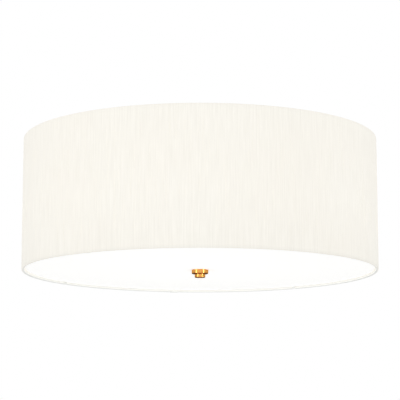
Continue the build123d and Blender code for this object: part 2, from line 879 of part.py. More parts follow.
# Clips: four small pressings snapped on the bottom roll, whose feet stop the diffuser.
ring_level = shade_bottom + hem_radius
clip_inner = hem_radius + clip_clearance
clip_outer = clip_inner + clip_thickness
leg_radius = hem_circle - clip_inner
foot_bottom = diffuser_top + clip_foot_gap
clip_arc = degrees(clip_width / leg_radius)
clips = []
for turn in arm_turns:
    with BuildPart() as clip:
        with BuildSketch(Plane.XZ.rotated((0, 0, turn - clip_arc / 2))):
            hook = Vector(-1, 0).rotate(Axis.Z, clip_hook_angle)
            middle = Vector(-1, 0).rotate(Axis.Z, clip_hook_angle / 2)
            with BuildLine():
                ThreePointArc(
                    (hem_circle - clip_outer, ring_level),
                    (hem_circle + clip_outer * middle.X, ring_level + clip_outer * middle.Y),
                    (hem_circle + clip_outer * hook.X, ring_level + clip_outer * hook.Y),
                )
                Line(
                    (hem_circle + clip_outer * hook.X, ring_level + clip_outer * hook.Y),
                    (hem_circle + clip_inner * hook.X, ring_level + clip_inner * hook.Y),
                )
                ThreePointArc(
                    (hem_circle + clip_inner * hook.X, ring_level + clip_inner * hook.Y),
                    (hem_circle + clip_inner * middle.X, ring_level + clip_inner * middle.Y),
                    (leg_radius, ring_level),
                )
                Polyline(
                    (leg_radius, ring_level),
                    (leg_radius, foot_bottom + clip_thickness),
                    (leg_radius - clip_thickness - clip_foot_length, foot_bottom + clip_thickness),
                    (leg_radius - clip_thickness - clip_foot_length, foot_bottom),
                    (leg_radius - clip_thickness, foot_bottom),
                    (hem_circle - clip_outer, ring_level),
                )
            make_face()
            tongue_bottom = ring_level + clip_inner
            tongue_reach = liner_radius - liner_thickness - clip_clearance - leg_radius
            with Locations(
                (leg_radius + tongue_reach / 2, tongue_bottom + clip_thickness / 2)
            ):
                Rectangle(tongue_reach, clip_thickness)
        revolve(axis=Axis.Z, revolution_arc=clip_arc)
    clips.append(clip.part)
save(group(clips), "diffuser_clips")

# Stop nut on the tube, which sets the diffuser's height at the middle.
save(
    turned(
        [
            (thread_hole_radius, diffuser_top),
            (stop_flange_radius, diffuser_top),
            (stop_flange_radius, diffuser_top + stop_flange_thickness),
            (stop_nut_radius, diffuser_top + stop_flange_thickness),
            (stop_nut_radius, diffuser_top + stop_flange_thickness + stop_nut_height),
            (thread_hole_radius, diffuser_top + stop_flange_thickness + stop_nut_height),
        ]
    ),
    "diffuser_stop_nut",
)

# Diffuser: a flat opal disc, just smaller than the bottom roll, with a hole for the finial.
diffuser_radius = hem_circle - hem_radius - diffuser_edge_gap
with BuildPart() as diffuser:
    with BuildSketch(Plane.XY.offset(diffuser_bottom)):
        Circle(diffuser_radius)
        Circle(diffuser_hole_radius, mode=Mode.SUBTRACT)
    extrude(amount=diffuser_thickness)
    outer_edges = diffuser.edges().filter_by(GeomType.CIRCLE).filter_by(
        lambda e: abs(e.radius - diffuser_radius) < 0.01
    )
    fillet(outer_edges, diffuser_rounding)
save(diffuser.part, "diffuser")

# Soft washer in a recess of the finial's cap, against the diffuser.
shank_hole_radius = finial_shank_radius + finial_shank_clearance
save(
    disc(
        gasket_radius,
        shank_hole_radius + gasket_clearance,
        diffuser_bottom - gasket_thickness,
        gasket_thickness,
    ),
    "diffuser_gasket",
)

# Finial cap: the wide turned disc against the diffuser.
with BuildPart() as finial_cap:
    with BuildSketch(Plane.XY.offset(cap_bottom)):
        Circle(finial_cap_radius)
    extrude(amount=finial_cap_height)
    fillet(finial_cap.faces().sort_by(Axis.Z)[-1].edges(), finial_cap_top_rounding)
    fillet(finial_cap.faces().sort_by(Axis.Z)[0].edges(), finial_cap_bottom_rounding)
    with BuildSketch(Plane.XY.offset(cap_bottom)):
        Circle(shank_hole_radius)
    extrude(amount=finial_cap_height, mode=Mode.SUBTRACT)
    with BuildSketch(Plane.XY.offset(diffuser_bottom)):
        Circle(gasket_radius + gasket_clearance)
    extrude(amount=-gasket_thickness, mode=Mode.SUBTRACT)
save(finial_cap.part, "finial_cap")

# Finial knob: a small turned nut whose threaded shank passes through the cap onto the tube.
with BuildPart() as finial_knob:
    neck_bottom = cap_bottom - finial_neck_height
    with BuildSketch(Plane.XY.offset(knob_bottom)):
        Circle(finial_knob_radius)
    extrude(amount=neck_bottom - knob_bottom)
    fillet(finial_knob.edges(), finial_knob_rounding)
    with BuildSketch(Plane.XY.offset(neck_bottom)):
        Circle(finial_neck_radius)
    extrude(amount=finial_neck_height)
    with BuildSketch(Plane.XY.offset(cap_bottom)):
        Circle(finial_shank_radius)
    extrude(amount=diffuser_bottom + finial_shank_top - cap_bottom)
    with BuildSketch(Plane.XY.offset(knob_bore_end)):
        Circle(thread_hole_radius)
    extrude(amount=-2 * knob_bore_end, mode=Mode.SUBTRACT)
save(finial_knob.part, "finial_knob")
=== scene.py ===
"""Semi-flush ceiling light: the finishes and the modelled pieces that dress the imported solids.

All lengths are in metres in the part's own frame. Its origin is the centre of the ceiling face,
+Z points up and the light hangs below, with its axis on Z.
"""

import json
import logging
import math
from collections.abc import Iterable, Sequence
from dataclasses import dataclass
from enum import Enum

import bmesh
import bpy
from mathutils import Matrix, Vector


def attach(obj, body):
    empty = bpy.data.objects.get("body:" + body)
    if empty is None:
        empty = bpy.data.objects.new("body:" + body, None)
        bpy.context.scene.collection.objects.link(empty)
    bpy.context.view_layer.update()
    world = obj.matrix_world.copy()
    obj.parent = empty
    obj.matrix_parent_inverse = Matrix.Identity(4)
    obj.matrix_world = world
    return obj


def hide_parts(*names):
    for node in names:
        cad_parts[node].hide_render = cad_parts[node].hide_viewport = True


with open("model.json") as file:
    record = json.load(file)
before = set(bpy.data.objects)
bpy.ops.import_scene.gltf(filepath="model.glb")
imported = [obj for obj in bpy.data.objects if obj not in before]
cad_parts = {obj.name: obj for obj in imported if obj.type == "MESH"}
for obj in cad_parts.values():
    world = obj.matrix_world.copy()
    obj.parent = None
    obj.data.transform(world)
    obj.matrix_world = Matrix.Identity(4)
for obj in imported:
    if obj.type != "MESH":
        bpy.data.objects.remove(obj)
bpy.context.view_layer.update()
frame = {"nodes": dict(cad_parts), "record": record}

log = logging.getLogger("ceiling_light")

Colour = tuple[float, float, float]
Point = tuple[float, float, float] | Vector
Profile = list[tuple[float, float]]
Outline = list[tuple[Vector, Vector]]
Socket = bpy.types.NodeSocket
Outputs = bpy.types.bpy_prop_collection

MM = 0.001
SAME_POINT = 1e-6
LAMP_COUNT = 4
WHITE = (1.0, 1.0, 1.0, 1.0)


def rgba(colour: Colour) -> tuple[float, float, float, float]:
    """Adds full alpha to a colour."""
    return (*colour, 1.0)


class Graph:
    """A node tree with short calls that add nodes and join them."""

    NODE_SPACING = 180.0

    def __init__(self, tree: bpy.types.NodeTree) -> None:
        """Keeps the tree that the calls build in."""
        self.tree = tree

    def feed(self, socket: Socket, value: object) -> None:
        """Gives an input a plain value, or links another node's output to it.

        Args:
            socket: The input socket.
            value: The plain value or the output socket.
        """
        if isinstance(value, Socket):
            self.tree.links.new(value, socket)
        else:
            socket.default_value = value

    def add(
        self,
        kind: str,
        inputs: dict[str | int, object] | None = None,
        **settings: object,
    ) -> bpy.types.Node:
        """Adds one node.

        Args:
            kind: The node's type name.
            inputs: Input name or number to a value or to another node's output socket.
            **settings: Properties to set on the node before its inputs.

        Returns:
            The new node.
        """
        node = self.tree.nodes.new(kind)
        node.location = (self.NODE_SPACING * len(self.tree.nodes), 0.0)
        for name, value in settings.items():
            setattr(node, name, value)
        for key, value in (inputs or {}).items():
            self.feed(node.inputs[key], value)
        return node

    def math(self, operation: str, a: object, b: object = 0.0) -> Socket:
        """Adds a sum of one or two values.

        Args:
            operation: The Math node's operation.
            a: The first value or socket.
            b: The second one, for an operation that takes two.

        Returns:
            The result's socket.
        """
        return self.add("ShaderNodeMath", {0: a, 1: b}, operation=operation).outputs[0]

    def ramp(self, value: object, low: float, high: float, to_low: float, to_high: float) -> Socket:
        """Maps a value from one range to another and holds it at the ends.

        Args:
            value: The value or socket to map.
            low: Where the first range starts.
            high: Where the first range ends.
            to_low: What the start becomes.
            to_high: What the end becomes.

        Returns:
            The result's socket.
        """
        inputs = {0: value, 1: low, 2: high, 3: to_low, 4: to_high}
        return self.add("ShaderNodeMapRange", inputs, clamp=True).outputs[0]

    def mix(self, factor: object, a: object, b: object) -> Socket:
        """Mixes two colours.

        Args:
            factor: The share of the second colour.
            a: The first colour or its socket.
            b: The second colour or its socket.

        Returns:
            The result's socket.
        """
        node = self.add("ShaderNodeMix", data_type="RGBA")
        first, second = (socket for socket in node.inputs if socket.type == "RGBA")
        self.feed(node.inputs[0], factor)
        self.feed(first, a)
        self.feed(second, b)
        return next(socket for socket in node.outputs if socket.type == "RGBA")

    def scaled(self, colour: object, factor: object) -> Socket:
        """Multiplies a colour by a factor and returns the result's socket."""
        inputs = {0: colour, "Scale": factor}
        return self.add("ShaderNodeVectorMath", inputs, operation="SCALE").outputs[0]

    def noise(self, **inputs: object) -> Socket:
        """Adds a noise texture, in one dimension where its input W is given.

        Args:
            **inputs: Input name to a value or socket.

        Returns:
            The noise's value.
        """
        dimensions = "1D" if "W" in inputs else "3D"
        return self.add("ShaderNodeTexNoise", inputs, noise_dimensions=dimensions).outputs[0]

    def vector(self, x: object = 0.0, y: object = 0.0, z: object = 0.0) -> Socket:
        """Joins three values to a vector and returns its socket."""
        return self.add("ShaderNodeCombineXYZ", {0: x, 1: y, 2: z}).outputs[0]

    def split(self, vector: object) -> tuple[Socket, Socket, Socket]:
        """Takes a vector apart and returns the sockets of its three values."""
        x, y, z = self.add("ShaderNodeSeparateXYZ", {0: vector}).outputs
        return x, y, z

    def from_axis(self, x: Socket, y: Socket) -> Socket:
        """Works out how far a point lies from the Z axis and returns the result's socket."""
        return self.math("SQRT", self.math("ADD", *(self.math("MULTIPLY", s, s) for s in (x, y))))

    def about_axis(self, radius: object, turn: Socket, level: object) -> Socket:
        """Places a point about the Z axis.

        Args:
            radius: How far it is from the axis.
            turn: Its angle in radians.
            level: Its height.

        Returns:
            The point's socket.
        """
        x, y = (self.math("MULTIPLY", radius, self.math(way, turn)) for way in ("COSINE", "SINE"))
        return self.vector(x, y, level)


def new_group(
    name: str,
    kind: str,
    inputs: Sequence[tuple[str, str, object]],
    outputs: Sequence[tuple[str, str]],
) -> tuple[Graph, bpy.types.Node, bpy.types.Node]:
    """Makes an empty node group with named sockets.

    Args:
        name: The group's name.
        kind: The tree's type, for shaders or for geometry.
        inputs: Name, socket type and default value of each input.
        outputs: Name and socket type of each output.

    Returns:
        The graph, the group's input node and its output node.
    """
    tree = bpy.data.node_groups.new(name, kind)
    for label, socket_type, default in inputs:
        socket = tree.interface.new_socket(label, in_out="INPUT", socket_type=socket_type)
        if default is not None:
            socket.default_value = default
    for label, socket_type in outputs:
        tree.interface.new_socket(label, in_out="OUTPUT", socket_type=socket_type)
    graph = Graph(tree)
    return graph, graph.add("NodeGroupInput"), graph.add("NodeGroupOutput")


def new_material(name: str) -> tuple[bpy.types.Material, Graph]:
    """Makes a material with an empty graph.

    Args:
        name: The material's name.

    Returns:
        The material and its graph.
    """
    material = bpy.data.materials.new(name)
    material.use_nodes = True
    material.node_tree.nodes.clear()
    return material, Graph(material.node_tree)


class Effects:
    """The shader node groups that several finishes share, each built once."""

    GRAIN_RANGE = (0.35, 0.65)
    MARK_RANGE = (0.42, 0.75)
    MARK_DETAIL = 5.0
    MARK_ROUGHNESS = 0.65
    LINE_RANGE = (0.4, 0.7)
    LINE_DETAIL = 3.0
    LINE_ROUGHNESS = 0.7
    WANDER_SCALE = 160.0
    WANDER = 3.0
    WARP_OVER = (0.2, 1.0)
    WEFT_OVER = (0.9, 0.2)
    SLUB_DETAIL = 4.0
    SLUB_ROUGHNESS = 0.6
    CLOUD_SCALE = 5.0
    CLOUD_DETAIL = 2.0
    THREAD_HEIGHT = 0.5
    SLUB_HEIGHT = 1.2

    def __init__(self) -> None:
        """Builds every group."""
        self.grain = self._grain()
        self.handling = self._handling()
        self.turning = self._turning()
        self.weave = self._weave()

    @classmethod
    def _grain(cls) -> bpy.types.NodeTree:
        """A fine even grain, as of moulded plastic, powder coat or glaze.

        Returns:
            The group.
        """
        graph, start, end = new_group(
            "Surface Grain",
            "ShaderNodeTree",
            [
                ("Vector", "NodeSocketVector", None),
                ("Scale", "NodeSocketFloat", 900.0),
                ("Detail", "NodeSocketFloat", 3.0),
            ],
            [("Mask", "NodeSocketFloat"), ("Height", "NodeSocketFloat")],
        )
        given = start.outputs
        fine = graph.noise(Vector=given["Vector"], Scale=given["Scale"], Detail=given["Detail"])
        graph.feed(end.inputs["Mask"], graph.ramp(fine, *cls.GRAIN_RANGE, 0.0, 1.0))
        graph.feed(end.inputs["Height"], fine)
        return graph.tree

    @classmethod
    def _handling(cls) -> bpy.types.NodeTree:
        """Broad soft marks with finer specks inside them, as left by handling and dust.

        Returns:
            The group.
        """
        graph, start, end = new_group(
            "Handling Marks",
            "ShaderNodeTree",
            [
                ("Vector", "NodeSocketVector", None),
                ("Scale", "NodeSocketFloat", 25.0),
                ("Amount", "NodeSocketFloat", 0.4),
            ],
            [("Mask", "NodeSocketFloat")],
        )
        broad = graph.noise(
            Vector=start.outputs["Vector"],
            Scale=start.outputs["Scale"],
            Detail=cls.MARK_DETAIL,
            Roughness=cls.MARK_ROUGHNESS,
        )
        cloud = graph.ramp(broad, *cls.MARK_RANGE, 0.0, 1.0)
        mask = graph.math("MULTIPLY", cloud, start.outputs["Amount"])
        graph.feed(end.inputs["Mask"], mask)
        return graph.tree

    @classmethod
    def _turning(cls) -> bpy.types.NodeTree:
        """Fine lines round the Z axis, as a lathe tool or a polishing mop leaves them.

        Returns:
            The group.
        """
        graph, start, end = new_group(
            "Turned Lines",
            "ShaderNodeTree",
            [
                ("Vector", "NodeSocketVector", None),
                ("Pitch", "NodeSocketFloat", 0.0003),
            ],
            [("Mask", "NodeSocketFloat"), ("Height", "NodeSocketFloat")],
        )
        x, y, z = graph.split(start.outputs["Vector"])
        along = graph.math("ADD", graph.from_axis(x, y), z)
        steps = graph.math("DIVIDE", along, start.outputs["Pitch"])
        lines = graph.noise(
            W=steps, Scale=1.0, Detail=cls.LINE_DETAIL, Roughness=cls.LINE_ROUGHNESS
        )
        graph.feed(end.inputs["Mask"], graph.ramp(lines, *cls.LINE_RANGE, 0.0, 1.0))
        graph.feed(end.inputs["Height"], lines)
        return graph.tree

    @classmethod
    def _weave(cls) -> bpy.types.NodeTree:
        """A plain weave with slubs: thick and thin threads that run up the cloth.

        Returns:
            The group.
        """
        graph, start, end = new_group(
            "Slub Weave",
            "ShaderNodeTree",
            [
                ("Vector", "NodeSocketVector", None),
                ("Thread Pitch", "NodeSocketFloat", 0.0005),
                ("Slub Width", "NodeSocketFloat", 0.0022),
                ("Slub Length", "NodeSocketFloat", 0.06),
            ],
            [
                ("Shade", "NodeSocketFloat"),
                ("Cloud", "NodeSocketFloat"),
                ("Height", "NodeSocketFloat"),
            ],
        )
        given = start.outputs
        across, up, _ = graph.split(given["Vector"])
        turns = graph.math("DIVIDE", math.pi, given["Thread Pitch"])
        wander = graph.noise(Vector=given["Vector"], Scale=cls.WANDER_SCALE)
        bend = graph.math("MULTIPLY", wander, cls.WANDER)
        warp, weft = (
            graph.math("SINE", graph.math("ADD", graph.math("MULTIPLY", way, turns), bend))
            for way in (across, up)
        )
        over = graph.math("MULTIPLY", warp, weft)
        warp_top, weft_top = (
            graph.math("MULTIPLY", graph.math("ABSOLUTE", way), graph.ramp(over, -1.0, 1.0, *show))
            for way, show in ((warp, cls.WARP_OVER), (weft, cls.WEFT_OVER))
        )
        threads = graph.math("MAXIMUM", warp_top, weft_top)
        stretched = graph.vector(
            graph.math("DIVIDE", across, given["Slub Width"]),
            graph.math("DIVIDE", up, given["Slub Length"]),
        )
        slubs = graph.noise(
            Vector=stretched, Scale=1.0, Detail=cls.SLUB_DETAIL, Roughness=cls.SLUB_ROUGHNESS
        )
        cloud = graph.noise(
            Vector=given["Vector"], Scale=cls.CLOUD_SCALE, Detail=cls.CLOUD_DETAIL
        )
        height = graph.math(
            "ADD",
            graph.math("MULTIPLY", threads, cls.THREAD_HEIGHT),
            graph.math("MULTIPLY", slubs, cls.SLUB_HEIGHT),
        )
        for name, value in (("Shade", slubs), ("Cloud", cloud), ("Height", height)):
            graph.feed(end.inputs[name], value)
        return graph.tree


@dataclass(frozen=True)
class Swatch:
    """A material while it is made: its graph, its shader, its coordinates and the shared groups."""

    graph: Graph
    shader: bpy.types.Node
    where: Socket
    effects: Effects

    def feed(self, name: str, value: object) -> None:
        """Gives the shader's named input a plain value or a link."""
        self.graph.feed(self.shader.inputs[name], value)

    def fed(self, name: str) -> Socket:
        """The socket that the shader's named input is linked to."""
        return self.shader.inputs[name].links[0].from_socket

    def effect(self, group: bpy.types.NodeTree, **inputs: object) -> Outputs:
        """Places a shared group at the material's coordinates.

        Args:
            group: The group.
            **inputs: The group's input names to their values.

        Returns:
            The placed group's outputs.
        """
        placed = {"Vector": self.where, **inputs}
        return self.graph.add("ShaderNodeGroup", placed, node_tree=group).outputs

    def bump(self, height: Socket, depth: float) -> None:
        """Feeds a height to the shader's normal.

        Args:
            height: The height, from 0 to about 1.
            depth: What a height of 1 stands for.
        """
        inputs = {"Height": height, "Distance": depth, "Strength": 1.0}
        self.feed("Normal", self.graph.add("ShaderNodeBump", inputs).outputs[0])


@dataclass(frozen=True)
class Finish:
    """A finish with a plain look: one colour, a grain and faint marks of handling."""

    name: str
    colour: Colour
    tint: Colour
    roughness: float
    grain_scale: float = 900.0
    grain_depth: float = 0.00002
    grain_gloss: float = 0.03
    mark_gloss: float = 0.12

    def material(self, effects: Effects) -> bpy.types.Material:
        """Builds the finish's material.

        Args:
            effects: The shared groups that it may place.

        Returns:
            The material.
        """
        material, graph = new_material(self.name)
        material.diffuse_color = rgba(self.colour)
        shader = graph.add("ShaderNodeBsdfPrincipled", {"Base Color": rgba(self.colour)})
        graph.add("ShaderNodeOutputMaterial", {"Surface": shader.outputs[0]})
        self.paint(Swatch(graph, shader, self.coordinates(graph), effects))
        return material

    def coordinates(self, graph: Graph) -> Socket:
        """Adds the coordinates that the finish's patterns follow and returns their socket."""
        return graph.add("ShaderNodeTexCoord").outputs["Object"]

    def paint(self, swatch: Swatch) -> None:
        """Gives a new material the finish's look."""
        swatch.bump(self.grain_and_marks(swatch), self.grain_depth)

    def grain_and_marks(self, swatch: Swatch) -> Socket:
        """Varies the colour and the roughness over the surface.

        Args:
            swatch: The material being made.

        Returns:
            The grain's height.
        """
        graph = swatch.graph
        marks = swatch.effect(swatch.effects.handling)["Mask"]
        grain = swatch.effect(swatch.effects.grain, Scale=self.grain_scale)
        swatch.feed("Base Color", graph.mix(marks, rgba(self.colour), rgba(self.tint)))
        smooth, rough = self.roughness - self.grain_gloss, self.roughness + self.grain_gloss
        even = graph.ramp(grain["Mask"], 0.0, 1.0, smooth, rough)
        worn = graph.math("MULTIPLY", marks, self.mark_gloss)
        swatch.feed("Roughness", graph.math("ADD", worn, even))
        return grain["Height"]


class Lines(Enum):
    """Which way the marks of a metal's last polish run."""

    TURNED = "turned"
    ROLLED = "rolled"


@dataclass(frozen=True)
class MetalFinish(Finish):
    """Bare, plated or lacquered metal with the lines of its last polish."""

    lines: Lines = Lines.ROLLED
    line_pitch: float = 0.4 * MM
    line_gloss: float = 0.02
    streak: float = 0.0
    streak_turn: float = 0.25
    coat: float = 0.0
    coat_roughness: float = 0.06
    edge: Colour = (1.0, 1.0, 1.0)

    def paint(self, swatch: Swatch) -> None:
        """Gives a new material the finish's look.

        Args:
            swatch: The material being made.
        """
        swatch.feed("Metallic", 1.0)
        swatch.feed("Coat Weight", self.coat)
        swatch.feed("Coat Roughness", self.coat_roughness)
        swatch.feed("Specular Tint", rgba(self.edge))
        height = self.grain_and_marks(swatch)
        if self.lines is Lines.TURNED:
            height = self.turned_lines(swatch)
        swatch.bump(height, self.grain_depth)

    def turned_lines(self, swatch: Swatch) -> Socket:
        """Runs the gloss and its streaks round the Z axis.

        Args:
            swatch: The material being made.

        Returns:
            The lines' height.
        """
        graph = swatch.graph
        swatch.feed("Anisotropic", self.streak)
        swatch.feed("Anisotropic Rotation", self.streak_turn)
        tangent = graph.add("ShaderNodeTangent", direction_type="RADIAL", axis="Z")
        swatch.feed("Tangent", tangent.outputs[0])
        lines = swatch.effect(swatch.effects.turning, Pitch=self.line_pitch)
        smooth, rough = self.roughness - self.line_gloss, self.roughness + self.line_gloss
        swatch.feed("Roughness", graph.ramp(lines["Mask"], 0.0, 1.0, smooth, rough))
        return lines["Height"]


@dataclass(frozen=True)
class PolishedCopper(MetalFinish):
    """Turned copper, with painted shade that darkens the finial's inner corner between the cap and
    the knob.
    """

    corner_shade: Colour = (0.46, 0.20, 0.06)
    corner_level: float = -272.6 * MM
    corner_reach: float = 0.9 * MM
    corner_radius: float = 12.0 * MM
    corner_fade: float = 1.2 * MM

    def paint(self, swatch: Swatch) -> None:
        """Gives a new material the finish's look.

        Args:
            swatch: The material being made.
        """
        super().paint(swatch)
        graph = swatch.graph
        # Painted shade: the copper darkens in the corner under the finial's cap, by the knob.
        x, y, z = graph.split(swatch.where)
        off = graph.math("ABSOLUTE", graph.math("SUBTRACT", z, self.corner_level))
        near = graph.ramp(off, self.corner_reach / 2, self.corner_reach, 1.0, 0.0)
        edge = self.corner_radius + self.corner_fade
        inside = graph.ramp(graph.from_axis(x, y), self.corner_radius, edge, 1.0, 0.0)
        corner = graph.math("MULTIPLY", near, inside)
        swatch.feed("Base Color", graph.mix(corner, swatch.fed("Base Color"), rgba(self.corner_shade)))


@dataclass(frozen=True)
class GlowFinish(Finish):
    """Opal plastic, glass or yarn with an emission. On the diffuser, the liner and the yarn it is
    painted light that stands in for the bulbs shining through them; on the bulbs' glass it is the
    lamps' own light.
    """

    glow: Colour = (1.0, 0.97, 0.92)
    strength: float = 0.3
    rim_radius: float = 0.294
    rim_fade: float = 0.05
    rim_glow: float = 0.9
    lit_below: float = 0.0
    lit_fade: float = 0.0001
    upper_share: float = 1.0

    def paint(self, swatch: Swatch) -> None:
        """Gives a new material the finish's look.

        Args:
            swatch: The material being made.
        """
        graph = swatch.graph
        height = self.grain_and_marks(swatch)
        x, y, z = graph.split(swatch.where)
        # Painted shade: the glow dims towards the rim, to rim_glow of its full colour.
        fade = graph.ramp(graph.from_axis(x, y), self.rim_fade, self.rim_radius, 0.0, 1.0)
        rim = tuple(part * self.rim_glow for part in self.glow)
        light = graph.mix(fade, rgba(self.glow), rgba(rim))
        # Painted light is kept to the faces below lit_below; above it the glow falls to upper_share.
        unlit = self.lit_below + self.lit_fade
        share = graph.ramp(z, self.lit_below, unlit, 1.0, self.upper_share)
        swatch.feed("Emission Color", graph.scaled(light, share))
        swatch.feed("Emission Strength", self.strength)
        swatch.bump(height, self.grain_depth)


@dataclass(frozen=True)
class ClothFinish(Finish):
    """Slub silk over a lit drum: a woven surface with painted light, a faint glow that stands in for
    the bulbs shining through it, and painted shade at its hems and towards its bottom.
    """

    slub_light: Colour = (0.90, 0.88, 0.82)
    slub_dark: Colour = (0.82, 0.80, 0.74)
    weave_range: tuple[float, float] = (0.3, 0.7)
    slub_gloss: tuple[float, float] = (0.08, -0.06)
    cloud_share: float = 0.35
    sheen: float = 0.08
    sheen_roughness: float = 0.4
    specular: float = 0.25
    # Painted light and shade: a faint glow stands in for the bulbs shining through the cloth, the
    # roll glows brighter inside, and the glow dims at both hems and towards the bottom.
    glow: Colour = (1.0, 0.96, 0.88)
    glow_strength: float = 0.1
    roll_glow: float = 2.0
    roll_lit: float = 5.0 * MM
    hem_start: float = 8.5 * MM
    hem_width: float = 6.5 * MM
    hem_edge: float = 1.0 * MM
    hem_shade: float = 0.3
    top_hem_shade: float = 0.85
    # Painted shade: the colour of the cloth where it turns in at the hems.
    turned_in_shade: Colour = (0.785, 0.79, 0.765)
    fade_height: float = 90.0 * MM
    fade_share: float = 0.7
    cloth_height: float = 242.7 * MM

    def coordinates(self, graph: Graph) -> Socket:
        """Adds the cloth's own coordinates, in metres across and up the sheet."""
        return graph.add("ShaderNodeUVMap", uv_map="cloth").outputs[0]

    def paint(self, swatch: Swatch) -> None:
        """Gives a new material the finish's look.

        Args:
            swatch: The material being made.
        """
        graph = swatch.graph
        up = graph.split(swatch.where)[1]
        weave = swatch.effect(swatch.effects.weave)
        slub = graph.ramp(weave["Shade"], *self.weave_range, 0.0, 1.0)
        yarn = graph.mix(slub, rgba(self.slub_dark), rgba(self.slub_light))
        cloud = graph.ramp(weave["Cloud"], *self.weave_range, 0.0, self.cloud_share)
        face = graph.mix(cloud, yarn, rgba(self.tint))
        # Painted shade: the cloth turned in at the hems takes a greyer, darker colour.
        turned_in = graph.ramp(up, self.hem_start - self.hem_edge, self.hem_start, 1.0, 0.0)
        swatch.feed("Base Color", graph.mix(turned_in, face, rgba(self.turned_in_shade)))
        thin, thick = (self.roughness + change for change in self.slub_gloss)
        swatch.feed("Roughness", graph.ramp(slub, 0.0, 1.0, thin, thick))
        swatch.feed("Sheen Weight", self.sheen)
        swatch.feed("Sheen Roughness", self.sheen_roughness)
        swatch.feed("Specular IOR Level", self.specular)
        # Painted light: the emission stands in for the bulbs' light through the cloth.
        swatch.feed("Emission Color", graph.scaled(self.glow, self.light(graph, up)))
        swatch.feed("Emission Strength", self.glow_strength)
        swatch.bump(weave["Height"], self.grain_depth)

    def light(self, graph: Graph, up: Socket) -> Socket:
        """How much painted glow the cloth carries: painted shade at its two hems and towards its
        bottom, and painted light where it rolls in by the diffuser.

        Args:
            graph: The material's graph.
            up: The height on the sheet.

        Returns:
            The share of the full glow.
        """
        start, wide = self.hem_start, self.hem_width
        low = graph.math(
            "MULTIPLY",
            graph.ramp(up, start, start + wide, self.hem_shade, 1.0),
            graph.ramp(up, start, start + self.fade_height, self.fade_share, 1.0),
        )
        top = self.cloth_height - start
        high = graph.ramp(up, top - wide, top, 1.0, self.top_hem_shade)
        inner = graph.ramp(up, self.roll_lit, self.roll_lit + self.hem_edge, self.roll_glow, 0.0)
        return graph.math("ADD", graph.math("MULTIPLY", low, high), inner)


@dataclass(frozen=True)
class LeadFinish(Finish):
    """Extruded insulation, with a stripe along it on an earth lead."""

    stripe: Colour | None = None
    stripe_edge: float = 0.1 * MM

    def paint(self, swatch: Swatch) -> None:
        """Gives a new material the finish's look.

        Args:
            swatch: The material being made.
        """
        height = self.grain_and_marks(swatch)
        if self.stripe is not None:
            graph = swatch.graph
            side = graph.split(swatch.where)[0]
            mask = graph.ramp(side, -self.stripe_edge, self.stripe_edge, 0.0, 1.0)
            swatch.feed("Base Color", graph.mix(mask, swatch.fed("Base Color"), rgba(self.stripe)))
        swatch.bump(height, self.grain_depth)


